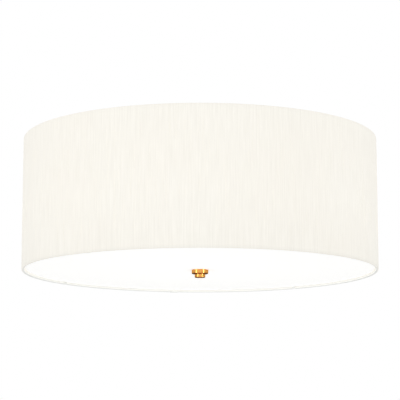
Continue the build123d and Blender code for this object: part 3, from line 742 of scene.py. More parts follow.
FINISHES: dict[str, Finish] = {
    # The copper carries painted shade in the finial's inner corner.
    "copper": PolishedCopper(
        "polished_copper", (0.84, 0.40, 0.10), (0.78, 0.34, 0.08), 0.26, grain_depth=0.000004,
        lines=Lines.TURNED, streak=0.9, coat=0.1, edge=(0.65, 0.38, 0.22),
    ),
    "zinc_steel": MetalFinish(
        "bright_zinc", (0.70, 0.71, 0.70), (0.60, 0.60, 0.56), 0.30, grain_scale=1400.0,
        grain_depth=0.00001,
    ),
    "white_paint": Finish(
        "white_powder_coat", (0.84, 0.83, 0.80), (0.78, 0.76, 0.71), 0.38, grain_depth=0.00004,
    ),
    "spring_steel": Finish(
        "lacquered_strip", (0.88, 0.88, 0.86), (0.80, 0.80, 0.78), 0.45, grain_depth=0.00001,
    ),
    "fabric": ClothFinish(
        "slub_silk", (0.86, 0.84, 0.78), (0.85, 0.81, 0.73), 0.80, grain_depth=0.00012,
    ),
    # Painted light: the liner glows below the diffuser's top and keeps only a faint glow higher up.
    "liner": GlowFinish(
        "styrene_liner", (0.80, 0.78, 0.72), (0.76, 0.73, 0.66), 0.55, grain_scale=400.0,
        glow=(1.0, 0.98, 0.94), strength=0.4, lit_below=-0.262, lit_fade=0.03, upper_share=0.06,
    ),
    # Painted light: the diffuser's underside glows as if lit by the bulbs above, dimmer towards its
    # rim.
    "opal_diffuser": GlowFinish(
        "opal_acrylic", (0.86, 0.86, 0.85), (0.85, 0.84, 0.82), 0.50,
        glow=(1.0, 0.995, 0.98), grain_scale=500.0, grain_depth=0.000008, strength=0.30,
        lit_below=-0.2656, lit_fade=0.0004, upper_share=0.05,
    ),
    "gasket": Finish("silicone_washer", (0.80, 0.80, 0.78), (0.72, 0.72, 0.69), 0.45),
    "block_plastic": Finish("natural_polyamide", (0.80, 0.78, 0.71), (0.72, 0.69, 0.61), 0.42),
    "brass_contact": MetalFinish(
        "bare_brass", (0.78, 0.60, 0.28), (0.55, 0.38, 0.17), 0.28, grain_depth=0.00001,
    ),
    "lead_brown": LeadFinish("brown_insulation", (0.14, 0.06, 0.03), (0.18, 0.09, 0.05), 0.42),
    "lead_blue": LeadFinish("blue_insulation", (0.05, 0.14, 0.42), (0.08, 0.18, 0.44), 0.42),
    "lead_green": LeadFinish(
        "earth_insulation", (0.07, 0.32, 0.06), (0.10, 0.34, 0.09), 0.42,
        stripe=(0.80, 0.66, 0.05),
    ),
    "holder_plastic": Finish(
        "moulded_white", (0.82, 0.81, 0.77), (0.76, 0.74, 0.68), 0.36, grain_scale=1200.0,
    ),
    "holder_shell": MetalFinish(
        "nickelled_shell", (0.72, 0.70, 0.66), (0.60, 0.57, 0.52), 0.26, grain_depth=0.00001,
    ),
    "ceramic": Finish(
        "glazed_porcelain", (0.84, 0.83, 0.78), (0.80, 0.78, 0.72), 0.18, grain_depth=0.00001,
    ),
    "bulb_cap": MetalFinish(
        "rolled_cap", (0.74, 0.73, 0.70), (0.58, 0.56, 0.52), 0.24, grain_depth=0.00001,
    ),
    "opal_glass": GlowFinish(
        "opal_glass", (0.78, 0.76, 0.72), (0.76, 0.74, 0.70), 0.30, glow=(1.0, 0.94, 0.85),
        strength=0.32, rim_radius=0.5, grain_depth=0.000005,
    ),
    # Painted light: the raised slubs glow as the cloth does.
    "slub_yarn": GlowFinish(
        "slub_yarn", (0.90, 0.87, 0.80), (0.84, 0.80, 0.72), 0.75, glow=(1.0, 0.96, 0.88),
        strength=0.1, rim_glow=1.0, grain_depth=0.00001,
    ),
}


def new_object(name: str, mesh: bpy.types.Mesh) -> bpy.types.Object:
    """Links a mesh into the scene as an object at the origin.

    Args:
        name: The object's name.
        mesh: Its mesh.

    Returns:
        The object.
    """
    piece = bpy.data.objects.new(name, mesh)
    bpy.context.scene.collection.objects.link(piece)
    return piece


def smooth_mesh(name: str, bm: bmesh.types.BMesh) -> bpy.types.Mesh:
    """Turns a built-up shape into a mesh.

    Args:
        name: The mesh's name.
        bm: The shape, which is freed.

    Returns:
        The mesh, shaded smooth.
    """
    mesh = bpy.data.meshes.new(name)
    bm.to_mesh(mesh)
    bm.free()
    mesh.polygons.foreach_set("use_smooth", [True] * len(mesh.polygons))
    return mesh


def ring_points(radius: float, level: float, count: int) -> list[Point]:
    """Spreads points round a circle about Z.

    Args:
        radius: The circle's radius.
        level: Its height.
        count: How many points there are.

    Returns:
        The points.
    """
    turns = [math.tau * k / count for k in range(count)]
    return [(radius * math.cos(a), radius * math.sin(a), level) for a in turns]


def lathe(bm: bmesh.types.BMesh, profile: Profile, steps: int) -> None:
    """Adds a surface of revolution about Z, with its seam and its poles closed.

    Args:
        bm: The shape to add to.
        profile: (radius, height) points, with the solid on their left as they go.
        steps: How many columns of faces go round.
    """
    rings = [
        [bm.verts.new(point) for point in ring_points(radius, level, steps if radius else 1)]
        for radius, level in profile
    ]
    for low, high in zip(rings, rings[1:]):
        for k in range(steps):
            ahead = (k + 1) % steps
            corners = [
                low[k % len(low)], low[ahead % len(low)],
                high[ahead % len(high)], high[k % len(high)],
            ]
            bm.faces.new(list(dict.fromkeys(corners)))


def turned_mesh(
    name: str, profiles: Iterable[Profile], steps: int, wall: bpy.types.Mesh | None = None
) -> bpy.types.Mesh:
    """Makes a mesh of turned surfaces, joined where they meet.

    Args:
        name: The mesh's name.
        profiles: The (radius, height) points of each surface.
        steps: How many columns of faces go round.
        wall: A mesh that the surfaces close, where there is one.

    Returns:
        The mesh.
    """
    bm = bmesh.new()
    if wall is not None:
        bm.from_mesh(wall)
    for profile in profiles:
        lathe(bm, profile, steps)
    bmesh.ops.remove_doubles(bm, verts=bm.verts, dist=SAME_POINT)
    return smooth_mesh(name, bm)


def joined_mesh(name: str, meshes: Iterable[bpy.types.Mesh]) -> bpy.types.Mesh:
    """Puts several meshes into one.

    Args:
        name: The new mesh's name.
        meshes: The meshes to put together.

    Returns:
        The new mesh.
    """
    bm = bmesh.new()
    for mesh in meshes:
        bm.from_mesh(mesh)
    return smooth_mesh(name, bm)


def flat_mesh(name: str, corners: Iterable[Point]) -> bpy.types.Mesh:
    """Makes a mesh of one flat face.

    Args:
        name: The mesh's name.
        corners: The face's corners in order.

    Returns:
        The mesh.
    """
    bm = bmesh.new()
    bm.faces.new([bm.verts.new(corner) for corner in corners])
    return smooth_mesh(name, bm)


def along_x(level: float, turn: float = 0.0) -> Matrix:
    """Lays what is built along Z on a level axis that points outwards.

    Args:
        level: The axis's height.
        turn: The axis's angle from +X in radians.

    Returns:
        The matrix that does it.
    """
    lift = Matrix.Translation((0.0, 0.0, level))
    return lift @ Matrix.Rotation(turn, 4, "Z") @ Matrix.Rotation(math.pi / 2, 4, "Y")


class Trees:
    """The geometry trees, each built once and run with the sizes that each use needs."""

    RIB_SIDES = 10
    BEAD_GRID = (16, 10)
    SLUB_GRID = (6, 8)
    PLACE_SALT = 10
    SIZE_SALT = 20

    def __init__(self) -> None:
        """Builds every tree."""
        self.thread = self._thread()
        self.ribs = self._ribs()
        self.beads = self._beads()
        self.slubs = self._slubs()

    @staticmethod
    def _finish(graph: Graph, shape: Socket, start: bpy.types.Node, end: bpy.types.Node) -> None:
        """Realizes a shape's instances, sets its material and puts it out.

        Args:
            graph: The tree's graph.
            shape: The shape.
            start: The tree's input node.
            end: The tree's output node.
        """
        real = graph.add("GeometryNodeRealizeInstances", {0: shape}).outputs[0]
        smooth = graph.add("GeometryNodeSetShadeSmooth", {0: real}).outputs[0]
        inputs = {"Geometry": smooth, "Material": start.outputs["Material"]}
        graph.feed(end.inputs[0], graph.add("GeometryNodeSetMaterial", inputs).outputs[0])

    @classmethod
    def _thread(cls) -> bpy.types.NodeTree:
        """A round wall along Z with a thread that rises from its root and runs out at both ends.

        Returns:
            The tree.
        """
        graph, start, end = new_group(
            "Rolled Thread",
            "GeometryNodeTree",
            [
                ("Root Radius", "NodeSocketFloat", 0.0121),
                ("Depth", "NodeSocketFloat", 0.0009),
                ("Pitch", "NodeSocketFloat", 0.0036),
                ("Length", "NodeSocketFloat", 0.019),
                ("Columns", "NodeSocketInt", 48),
                ("Rows", "NodeSocketInt", 60),
                ("Material", "NodeSocketMaterial", None),
            ],
            [("Geometry", "NodeSocketGeometry")],
        )
        given = start.outputs
        sheet = graph.add(
            "GeometryNodeMeshGrid",
            {
                "Size X": 1.0,
                "Size Y": 1.0,
                "Vertices X": graph.math("ADD", given["Columns"], 1.0),
                "Vertices Y": given["Rows"],
            },
        ).outputs[0]
        x, y, _ = graph.split(graph.add("GeometryNodeInputPosition").outputs[0])
        turn = graph.math("MULTIPLY", graph.math("ADD", x, 0.5), math.tau)
        along = graph.math("MULTIPLY", graph.math("ADD", y, 0.5), given["Length"])
        turns = graph.math("MULTIPLY", graph.math("DIVIDE", along, given["Pitch"]), math.tau)
        wave = graph.math("COSINE", graph.math("SUBTRACT", turns, turn))
        crest = graph.ramp(wave, -1.0, 1.0, 0.0, 1.0)
        left = graph.math("SUBTRACT", given["Length"], along)
        runout = graph.math("DIVIDE", graph.math("MINIMUM", along, left), given["Pitch"])
        full = graph.math("MULTIPLY", crest, graph.ramp(runout, 0.0, 1.0, 0.0, 1.0))
        rise = graph.math("MULTIPLY", full, given["Depth"])
        radius = graph.math("ADD", given["Root Radius"], rise)
        wrapped = graph.about_axis(radius, turn, along)
        wall = graph.add("GeometryNodeSetPosition", {"Geometry": sheet, "Position": wrapped})
        closed = graph.add(
            "GeometryNodeMergeByDistance", {"Geometry": wall.outputs[0], "Distance": SAME_POINT}
        ).outputs[0]
        cls._finish(graph, closed, start, end)
        return graph.tree

    @staticmethod
    def _ring(graph: Graph, start: bpy.types.Node, part: Socket, scale: object) -> Socket:
        """Repeats a part round a circle about Z, turned to face outwards.

        Args:
            graph: The tree's graph.
            start: The tree's input node.
            part: The part to repeat.
            scale: The copies' scale.

        Returns:
            The copies.
        """
        given = start.outputs
        circle = graph.add(
            "GeometryNodeMeshCircle",
            {"Vertices": given["Count"], "Radius": given["Circle Radius"]},
            fill_type="NONE",
        ).outputs[0]
        step = graph.math("DIVIDE", math.tau, given["Count"])
        index = graph.add("GeometryNodeInputIndex").outputs[0]
        facing = graph.vector(z=graph.math("MULTIPLY", index, step))
        copies = graph.add(
            "GeometryNodeInstanceOnPoints",
            {"Points": circle, "Instance": part, "Rotation": facing, "Scale": scale},
        ).outputs[0]
        turned = graph.vector(z=given["First Angle"])
        lifted = graph.vector(z=given["Level"])
        return graph.add(
            "GeometryNodeTransform",
            {"Geometry": copies, "Translation": lifted, "Rotation": turned},
        ).outputs[0]

    @classmethod
    def _ribs(cls) -> bpy.types.NodeTree:
        """Round ribs that stand along a barrel on the Z axis.

        Returns:
            The tree.
        """
        graph, start, end = new_group(
            "Grip Ribs",
            "GeometryNodeTree",
            [
                ("Count", "NodeSocketInt", 36),
                ("Circle Radius", "NodeSocketFloat", 0.0195),
                ("Rib Radius", "NodeSocketFloat", 0.0006),
                ("Rib Length", "NodeSocketFloat", 0.010),
                ("Level", "NodeSocketFloat", 0.0),
                ("First Angle", "NodeSocketFloat", 0.0),
                ("Material", "NodeSocketMaterial", None),
            ],
            [("Geometry", "NodeSocketGeometry")],
        )
        rib = graph.add(
            "GeometryNodeMeshCylinder",
            {
                "Vertices": cls.RIB_SIDES,
                "Radius": start.outputs["Rib Radius"],
                "Depth": start.outputs["Rib Length"],
            },
        ).outputs[0]
        cls._finish(graph, cls._ring(graph, start, rib, (1.0, 1.0, 1.0)), start, end)
        return graph.tree

    @staticmethod
    def _ball(graph: Graph, grid: tuple[int, int]) -> Socket:
        """Adds a ball of radius 1 with a number of segments and rings, and returns its socket."""
        inputs = {"Segments": grid[0], "Rings": grid[1], "Radius": 1.0}
        return graph.add("GeometryNodeMeshUVSphere", inputs).outputs[0]

    @classmethod
    def _beads(cls) -> bpy.types.NodeTree:
        """Weld beads set round a circle, each longest along the radius.

        Returns:
            The tree.
        """
        graph, start, end = new_group(
            "Weld Beads",
            "GeometryNodeTree",
            [
                ("Count", "NodeSocketInt", 4),
                ("Circle Radius", "NodeSocketFloat", 0.022),
                ("Bead Size", "NodeSocketVector", (0.003, 0.0012, 0.0008)),
                ("Level", "NodeSocketFloat", 0.0),
                ("First Angle", "NodeSocketFloat", 0.0),
                ("Material", "NodeSocketMaterial", None),
            ],
            [("Geometry", "NodeSocketGeometry")],
        )
        ball = cls._ball(graph, cls.BEAD_GRID)
        ring = cls._ring(graph, start, ball, start.outputs["Bead Size"])
        cls._finish(graph, ring, start, end)
        return graph.tree

    @staticmethod
    def _chance(
        graph: Graph, start: bpy.types.Node, salt: int, low: object, high: object
    ) -> Socket:
        """Draws a random value for each copy.

        Args:
            graph: The tree's graph.
            start: The tree's input node, which gives the seed.
            salt: What is added to the seed, so that each use draws its own values.
            low: The smallest value.
            high: The largest value.

        Returns:
            The value.
        """
        seed = graph.math("ADD", start.outputs["Seed"], float(salt))
        node = graph.add("FunctionNodeRandomValue", data_type="FLOAT")
        for name, value in (("Min", low), ("Max", high), ("Seed", seed)):
            graph.feed(next(s for s in node.inputs if s.name == name and s.enabled), value)
        return next(s for s in node.outputs if s.enabled)

    @classmethod
    def _slubs(cls) -> bpy.types.NodeTree:
        """Thick places in the yarn that stand a hair's breadth off a drum, scattered over it.

        Returns:
            The tree.
        """
        graph, start, end = new_group(
            "Raised Slubs",
            "GeometryNodeTree",
            [
                ("Count", "NodeSocketInt", 600),
                ("Drum Radius", "NodeSocketFloat", 0.3),
                ("Low", "NodeSocketFloat", -0.25),
                ("High", "NodeSocketFloat", -0.06),
                ("Shortest", "NodeSocketFloat", 0.006),
                ("Longest", "NodeSocketFloat", 0.032),
                ("Thickness", "NodeSocketFloat", 0.00015),
                ("Width", "NodeSocketFloat", 0.0003),
                ("Seed", "NodeSocketInt", 7),
                ("Material", "NodeSocketMaterial", None),
            ],
            [("Geometry", "NodeSocketGeometry")],
        )
        given = start.outputs
        turn = cls._chance(graph, start, 0, 0.0, math.tau)
        level = cls._chance(graph, start, cls.PLACE_SALT, given["Low"], given["High"])
        length = cls._chance(graph, start, cls.SIZE_SALT, given["Shortest"], given["Longest"])
        where = graph.about_axis(given["Drum Radius"], turn, level)
        dots = graph.add("GeometryNodePoints", {"Count": given["Count"], "Position": where})
        copies = graph.add(
            "GeometryNodeInstanceOnPoints",
            {
                "Points": dots.outputs[0],
                "Instance": cls._ball(graph, cls.SLUB_GRID),
                "Rotation": graph.vector(z=turn),
                "Scale": graph.vector(given["Thickness"], given["Width"], length),
            },
        ).outputs[0]
        cls._finish(graph, copies, start, end)
        return graph.tree


class Workshop:
    """What the sub-assemblies are made with: the finishes' materials and the geometry trees."""

    def __init__(self, finishes: dict[str, Finish]) -> None:
        """Builds one material for each finish, and every tree.

        Args:
            finishes: The finishes by their names.
        """
        effects = Effects()
        self.materials = {slot: finish.material(effects) for slot, finish in finishes.items()}
        self.trees = Trees()

    def dress_nodes(self) -> None:
        """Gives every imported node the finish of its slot."""
        for part in frame["record"]["subparts"]:
            node = frame["nodes"][part["node"]]
            material = self.materials[part["material_slot"]]
            if not node.material_slots:
                node.data.materials.append(material)
            for slot in node.material_slots:
                slot.material = material
            log.info("%s wears %s", node.name, material.name)

    def grow(
        self, tree: bpy.types.NodeTree, finish: str, inputs: dict[str, object]
    ) -> bpy.types.Mesh:
        """Runs a geometry tree and turns its result into a plain mesh.

        Args:
            tree: The tree to run.
            finish: The name of its finish.
            inputs: The tree's input names to their values.

        Returns:
            The mesh, with no modifier left on anything.
        """
        values = {**inputs, "Material": self.materials[finish]}
        holder = new_object("growing", bpy.data.meshes.new("growing"))
        modifier = holder.modifiers.new("tree", "NODES")
        modifier.node_group = tree
        for item in tree.interface.items_tree:
            if item.in_out == "INPUT" and item.name in values:
                modifier[item.identifier] = values[item.name]
        depsgraph = bpy.context.evaluated_depsgraph_get()
        mesh = bpy.data.meshes.new_from_object(holder.evaluated_get(depsgraph), depsgraph=depsgraph)
        holder.modifiers.remove(modifier)
        bpy.data.objects.remove(holder)
        mesh.polygons.foreach_set("material_index", [0] * len(mesh.polygons))
        return mesh

    def fit(
        self,
        piece: bpy.types.Object,
        body: str,
        slot: str,
        replaced: str | None = None,
        finish: str | None = None,
    ) -> None:
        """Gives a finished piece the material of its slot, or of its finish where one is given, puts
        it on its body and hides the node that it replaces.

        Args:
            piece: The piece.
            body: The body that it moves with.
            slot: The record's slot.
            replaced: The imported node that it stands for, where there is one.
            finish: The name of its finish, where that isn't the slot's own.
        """
        piece.data.materials.clear()
        piece.data.materials.append(self.materials[finish or slot])
        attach(piece, body)
        if replaced is not None:
            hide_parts(replaced)
        log.info("%s: %d faces", piece.name, len(piece.data.polygons))


@dataclass
class DrumShade:
    """The fabric cover of the drum: one sheet rolled over both ring wires and lapped at the back."""

    radius: float = 300.0 * MM
    top: float = -45.0 * MM
    bottom: float = -270.0 * MM
    thickness: float = 0.5 * MM
    roll_radius: float = 2.3 * MM
    roll_open_deg: float = 50.0
    roll_steps: int = 14
    wall_rows: int = 28
    column_deg: float = 1.5
    lap_width: float = 12.0 * MM
    lap_lift: float = 0.6 * MM
    lap_ramp_deg: float = 0.5
    seam_deg: float = 90.0
    arm_deg: float = 45.0
    arm_count: int = 4
    snip_half_width: float = 2.2 * MM
    snip_from_deg: float = 112.0
    ripple: float = 0.05 * MM
    ripples_round: float = 5.0
    ripple_start: float = 1.3
    ripple_rise: float = 60.0
    slub_count: int = 620
    slub_margin: float = 34.0 * MM

    @property
    def roll_turn_deg(self) -> float:
        """How far the sheet goes round each wire."""
        return 360.0 - self.roll_open_deg

    @property
    def snip_half_deg(self) -> float:
        """Half the angle that a snip takes out of the top roll."""
        return math.degrees(self.snip_half_width / (self.radius - 2 * self.roll_radius))

    def profile(self) -> Outline:
        """The sheet's middle line from the end of the bottom roll to that of the top roll.

        Returns:
            Points as (radius, height), each with its outward normal.
        """
        centre = self.radius - self.roll_radius
        middle = self.roll_radius - self.thickness / 2
        low = Vector((centre, self.bottom + self.roll_radius))
        high = Vector((centre, self.top - self.roll_radius))
        line: Outline = []
        for step in range(self.roll_steps + 1):
            share = step / self.roll_steps
            angle = math.radians(self.roll_open_deg + share * self.roll_turn_deg)
            out = Vector((math.cos(angle), math.sin(angle)))
            line.append((low + out * middle, out))
        for row in range(1, self.wall_rows):
            share = row / self.wall_rows
            level = low.y + (high.y - low.y) * share
            line.append((Vector((centre + middle, level)), Vector((1.0, 0.0))))
        for step in range(self.roll_steps + 1):
            angle = math.radians(step / self.roll_steps * self.roll_turn_deg)
            out = Vector((math.cos(angle), math.sin(angle)))
            line.append((high + out * middle, out))
        return line

    def heights(self, line: Outline) -> list[float]:
        """How far up the flat sheet each point of its middle line lies, in metres.

        Args:
            line: The middle line.

        Returns:
            One height for each point, from 0 at the end of the bottom roll.
        """
        up = [0.0]
        for (low, _), (high, _) in zip(line, line[1:]):
            up.append(up[-1] + (high - low).length)
        return up

    def columns(self) -> list[float]:
        """The sheet's columns, from the seam once round and over its start.

        Columns stand where the lap rises and at both sides of each snip. The arms are counted
        twice, because the angles run on past 360 degrees.

        Returns:
            Their angles in degrees, in order.
        """
        lap = math.degrees(self.lap_width / self.radius)
        first = self.seam_deg - lap / 2
        last = first + 360.0 + lap
        count = round((last - first) / self.column_deg)
        angles = {first + (last - first) * k / count for k in range(count + 1)}
        angles |= {first + 360.0 - self.lap_ramp_deg, first + 360.0}
        for arm in range(2 * self.arm_count):
            middle = self.arm_deg + 360.0 / self.arm_count * arm
            sides = {middle - self.snip_half_deg, middle + self.snip_half_deg}
            angles |= {side for side in sides if first < side < last}
        return sorted({round(angle, 4) for angle in angles})

    def lift(self, angle: float, first: float) -> float:
        """How far the sheet stands off, where its end laps over its start.

        Args:
            angle: The column's angle in degrees.
            first: The first column's angle.

        Returns:
            The distance in metres.
        """
        share = (angle - first - 360.0 + self.lap_ramp_deg) / self.lap_ramp_deg
        return self.lap_lift * min(1.0, max(0.0, share))

    def snipped(self, angle: float, row: int, rows: int) -> bool:
        """Whether a cell lies where the top roll is snipped for a spider arm.

        Args:
            angle: The angle of the cell's middle in degrees.
            row: The cell's row, counted from the bottom roll's end.
            rows: How many points the profile has.

        Returns:
            True where the cell is cut away.
        """
        pitch = 360.0 / self.arm_count
        off = (angle - self.arm_deg + pitch / 2) % pitch - pitch / 2
        step = row - (rows - 1 - self.roll_steps)
        turn = (step + 0.5) / self.roll_steps * self.roll_turn_deg
        inner = self.snip_from_deg < turn < 360.0 - self.snip_from_deg
        return abs(off) < self.snip_half_deg and step >= 0 and inner

    def column(self, line: Outline, angle: float, first: float) -> list[Point]:
        """The points of one column, with the lap's lift and a faint ripple in the wall.

        Args:
            line: The sheet's middle line.
            angle: The column's angle in degrees.
            first: The first column's angle.

        Returns:
            The points, from the bottom roll's end up.
        """
        turn = math.radians(angle)
        up = self.lift(angle, first)
        swell = self.ripple * math.sin(self.ripples_round * turn + self.ripple_start)
        points: list[Point] = []
        for point, out in line:
            wave = swell * math.sin(self.ripple_rise * point.y)
            at = point + out * (up + wave * max(0.0, out.x))
            points.append((at.x * math.cos(turn), at.x * math.sin(turn), at.y))
        return points

    def cover_mesh(self) -> bpy.types.Mesh:
        """Makes the sheet, with its cloth coordinates in metres.

        Returns:
            The mesh.
        """
        bm = bmesh.new()
        line = self.profile()
        up = self.heights(line)
        angles = self.columns()
        first = angles[0]
        grid = [
            [bm.verts.new(at) for at in self.column(line, angle, first)] for angle in angles
        ]
        cloth = bm.loops.layers.uv.new("cloth")
        for i, (left, right) in enumerate(zip(angles, angles[1:])):
            for row in range(len(up) - 1):
                if self.snipped((left + right) / 2, row, len(up)):
                    continue
                cell = ((i, row), (i + 1, row), (i + 1, row + 1), (i, row + 1))
                face = bm.faces.new([grid[k][r] for k, r in cell])
                for loop, (k, r) in zip(face.loops, cell):
                    loop[cloth].uv = (math.radians(angles[k] - first) * self.radius, up[r])
        loose = [vert for vert in bm.verts if not vert.link_faces]
        bmesh.ops.delete(bm, geom=loose, context="VERTS")
        return smooth_mesh("shade_cover", bm)

    def cover(self, shop: Workshop) -> None:
        """Args:
            shop: What it is made with.
        """
        cover = new_object("shade_cover", self.cover_mesh())
        wall = cover.modifiers.new("cloth_thickness", "SOLIDIFY")
        wall.thickness = self.thickness
        wall.offset = 0.0
        shop.fit(cover, "fixture", "fabric", replaced="shade_fabric")

    def slubs(self, shop: Workshop) -> None:
        """Builds the thick places in the yarn that stand off the cover.

        Args:
            shop: What they are made with.
        """
        sizes = {
            "Count": self.slub_count,
            "Drum Radius": self.radius,
            "Low": self.bottom + self.slub_margin,
            "High": self.top - self.slub_margin,
        }
        mesh = shop.grow(shop.trees.slubs, "slub_yarn", sizes)
        shop.fit(new_object("shade_slubs", mesh), "fixture", "fabric", finish="slub_yarn")

    def dress(self, shop: Workshop) -> None:
        """Builds the shade's pieces."""
        self.cover(shop)
        self.slubs(shop)


@dataclass
class Lamp:
    """One of the lamps round the box: its bulb's screw cap and its holder's grip.

    Lengths named start, end and the like are stations along the lamp's axis from the light's.
    """

    number: int
    level: float = -134.0 * MM
    tip_start: float = 54.3 * MM
    tip_radius: float = 4.5 * MM
    tip_edge: float = 0.4 * MM
    tip_end: float = 55.3 * MM
    thread_start: float = 59.0 * MM
    thread_end: float = 78.0 * MM
    cap_end: float = 80.0 * MM
    cap_radius: float = 13.0 * MM
    thread_root: float = 12.1 * MM
    thread_pitch: float = 3.629 * MM
    thread_columns: int = 60
    thread_rows: int = 64
    collar_rise: float = 0.5 * MM
    insulator_inner: float = 5.2 * MM
    insulator_outer: float = 11.0 * MM
    insulator_proud: float = 0.3 * MM
    insulator_depth: float = 0.6 * MM
    holder_radius: float = 19.5 * MM
    rib_count: int = 40
    rib_radius: float = 0.5 * MM
    rib_start: float = 48.0 * MM
    rib_end: float = 58.0 * MM

    def place(self) -> Matrix:
        """The matrix that lays a piece built along Z on the lamp's own axis."""
        return along_x(self.level, math.tau * (self.number - 1) / LAMP_COUNT)

    def cone_level(self, radius: float) -> float:
        """The station of the cap's cone at a radius."""
        share = (radius - self.tip_radius) / (self.thread_root - self.tip_radius)
        return self.tip_end + share * (self.thread_start - self.tip_end)

    def cap(self, shop: Workshop) -> None:
        """Builds the bulb's cap: a rolled thread between a coned nose and a plain collar.

        Args:
            shop: What it is made with.
        """
        sizes = {
            "Root Radius": self.thread_root,
            "Depth": self.cap_radius - self.thread_root,
            "Pitch": self.thread_pitch,
            "Length": self.thread_end - self.thread_start,
            "Columns": self.thread_columns,
            "Rows": self.thread_rows,
        }
        wall = shop.grow(shop.trees.thread, "bulb_cap", sizes)
        wall.transform(Matrix.Translation((0.0, 0.0, self.thread_start)))
        nose = [
            (0.0, self.tip_start),
            (self.tip_radius - self.tip_edge, self.tip_start),
            (self.tip_radius, self.tip_start + self.tip_edge),
            (self.tip_radius, self.tip_end),
            (self.insulator_outer, self.cone_level(self.insulator_outer)),
            (self.thread_root, self.thread_start),
        ]
        collar = [
            (self.thread_root, self.thread_end),
            (self.cap_radius, self.thread_end + self.collar_rise),
            (self.cap_radius, self.cap_end),
            (0.0, self.cap_end),
        ]
        mesh = turned_mesh("bulb_cap", (nose, collar), self.thread_columns, wall)
        mesh.transform(self.place())
        piece = new_object(f"bulb_{self.number}_threaded_cap", mesh)
        body = f"bulb_{self.number}"
        shop.fit(piece, body, "bulb_cap", replaced=f"bulb_{self.number}_cap")

    def insulator(self, shop: Workshop) -> None:
        """Builds the ring that keeps the centre contact apart from the cap's wall.

        Args:
            shop: What it is made with.
        """
        inner = self.cone_level(self.insulator_inner)
        outer = self.cone_level(self.insulator_outer)
        profile = [
            (self.insulator_inner, inner - self.insulator_proud),
            (self.insulator_outer, outer - self.insulator_proud),
            (self.insulator_outer, outer + self.insulator_depth),
            (self.insulator_inner, inner + self.insulator_depth),
            (self.insulator_inner, inner - self.insulator_proud),
        ]
        mesh = turned_mesh("insulator", (profile,), self.thread_columns)
        mesh.transform(self.place())
        piece = new_object(f"bulb_{self.number}_insulator", mesh)
        shop.fit(piece, f"bulb_{self.number}", "block_plastic")

    def grip(self, shop: Workshop) -> None:
        """Builds the ribs round the holder's skirt, by which a hand turns it.

        Args:
            shop: What they are made with.
        """
        sizes = {
            "Count": self.rib_count,
            "Circle Radius": self.holder_radius,
            "Rib Radius": self.rib_radius,
            "Rib Length": self.rib_end - self.rib_start,
            "Level": (self.rib_start + self.rib_end) / 2,
        }
        ribs = shop.grow(shop.trees.ribs, "holder_plastic", sizes)
        ribs.transform(self.place())
        piece = new_object(f"lampholder_{self.number}_grip", ribs)
        shop.fit(piece, "fixture", "holder_plastic")

    def dress(self, shop: Workshop) -> None:
        """Builds the lamp's pieces.

        Args:
            shop: What they are made with.
        """
        self.cap(shop)
        self.insulator(shop)
        self.grip(shop)


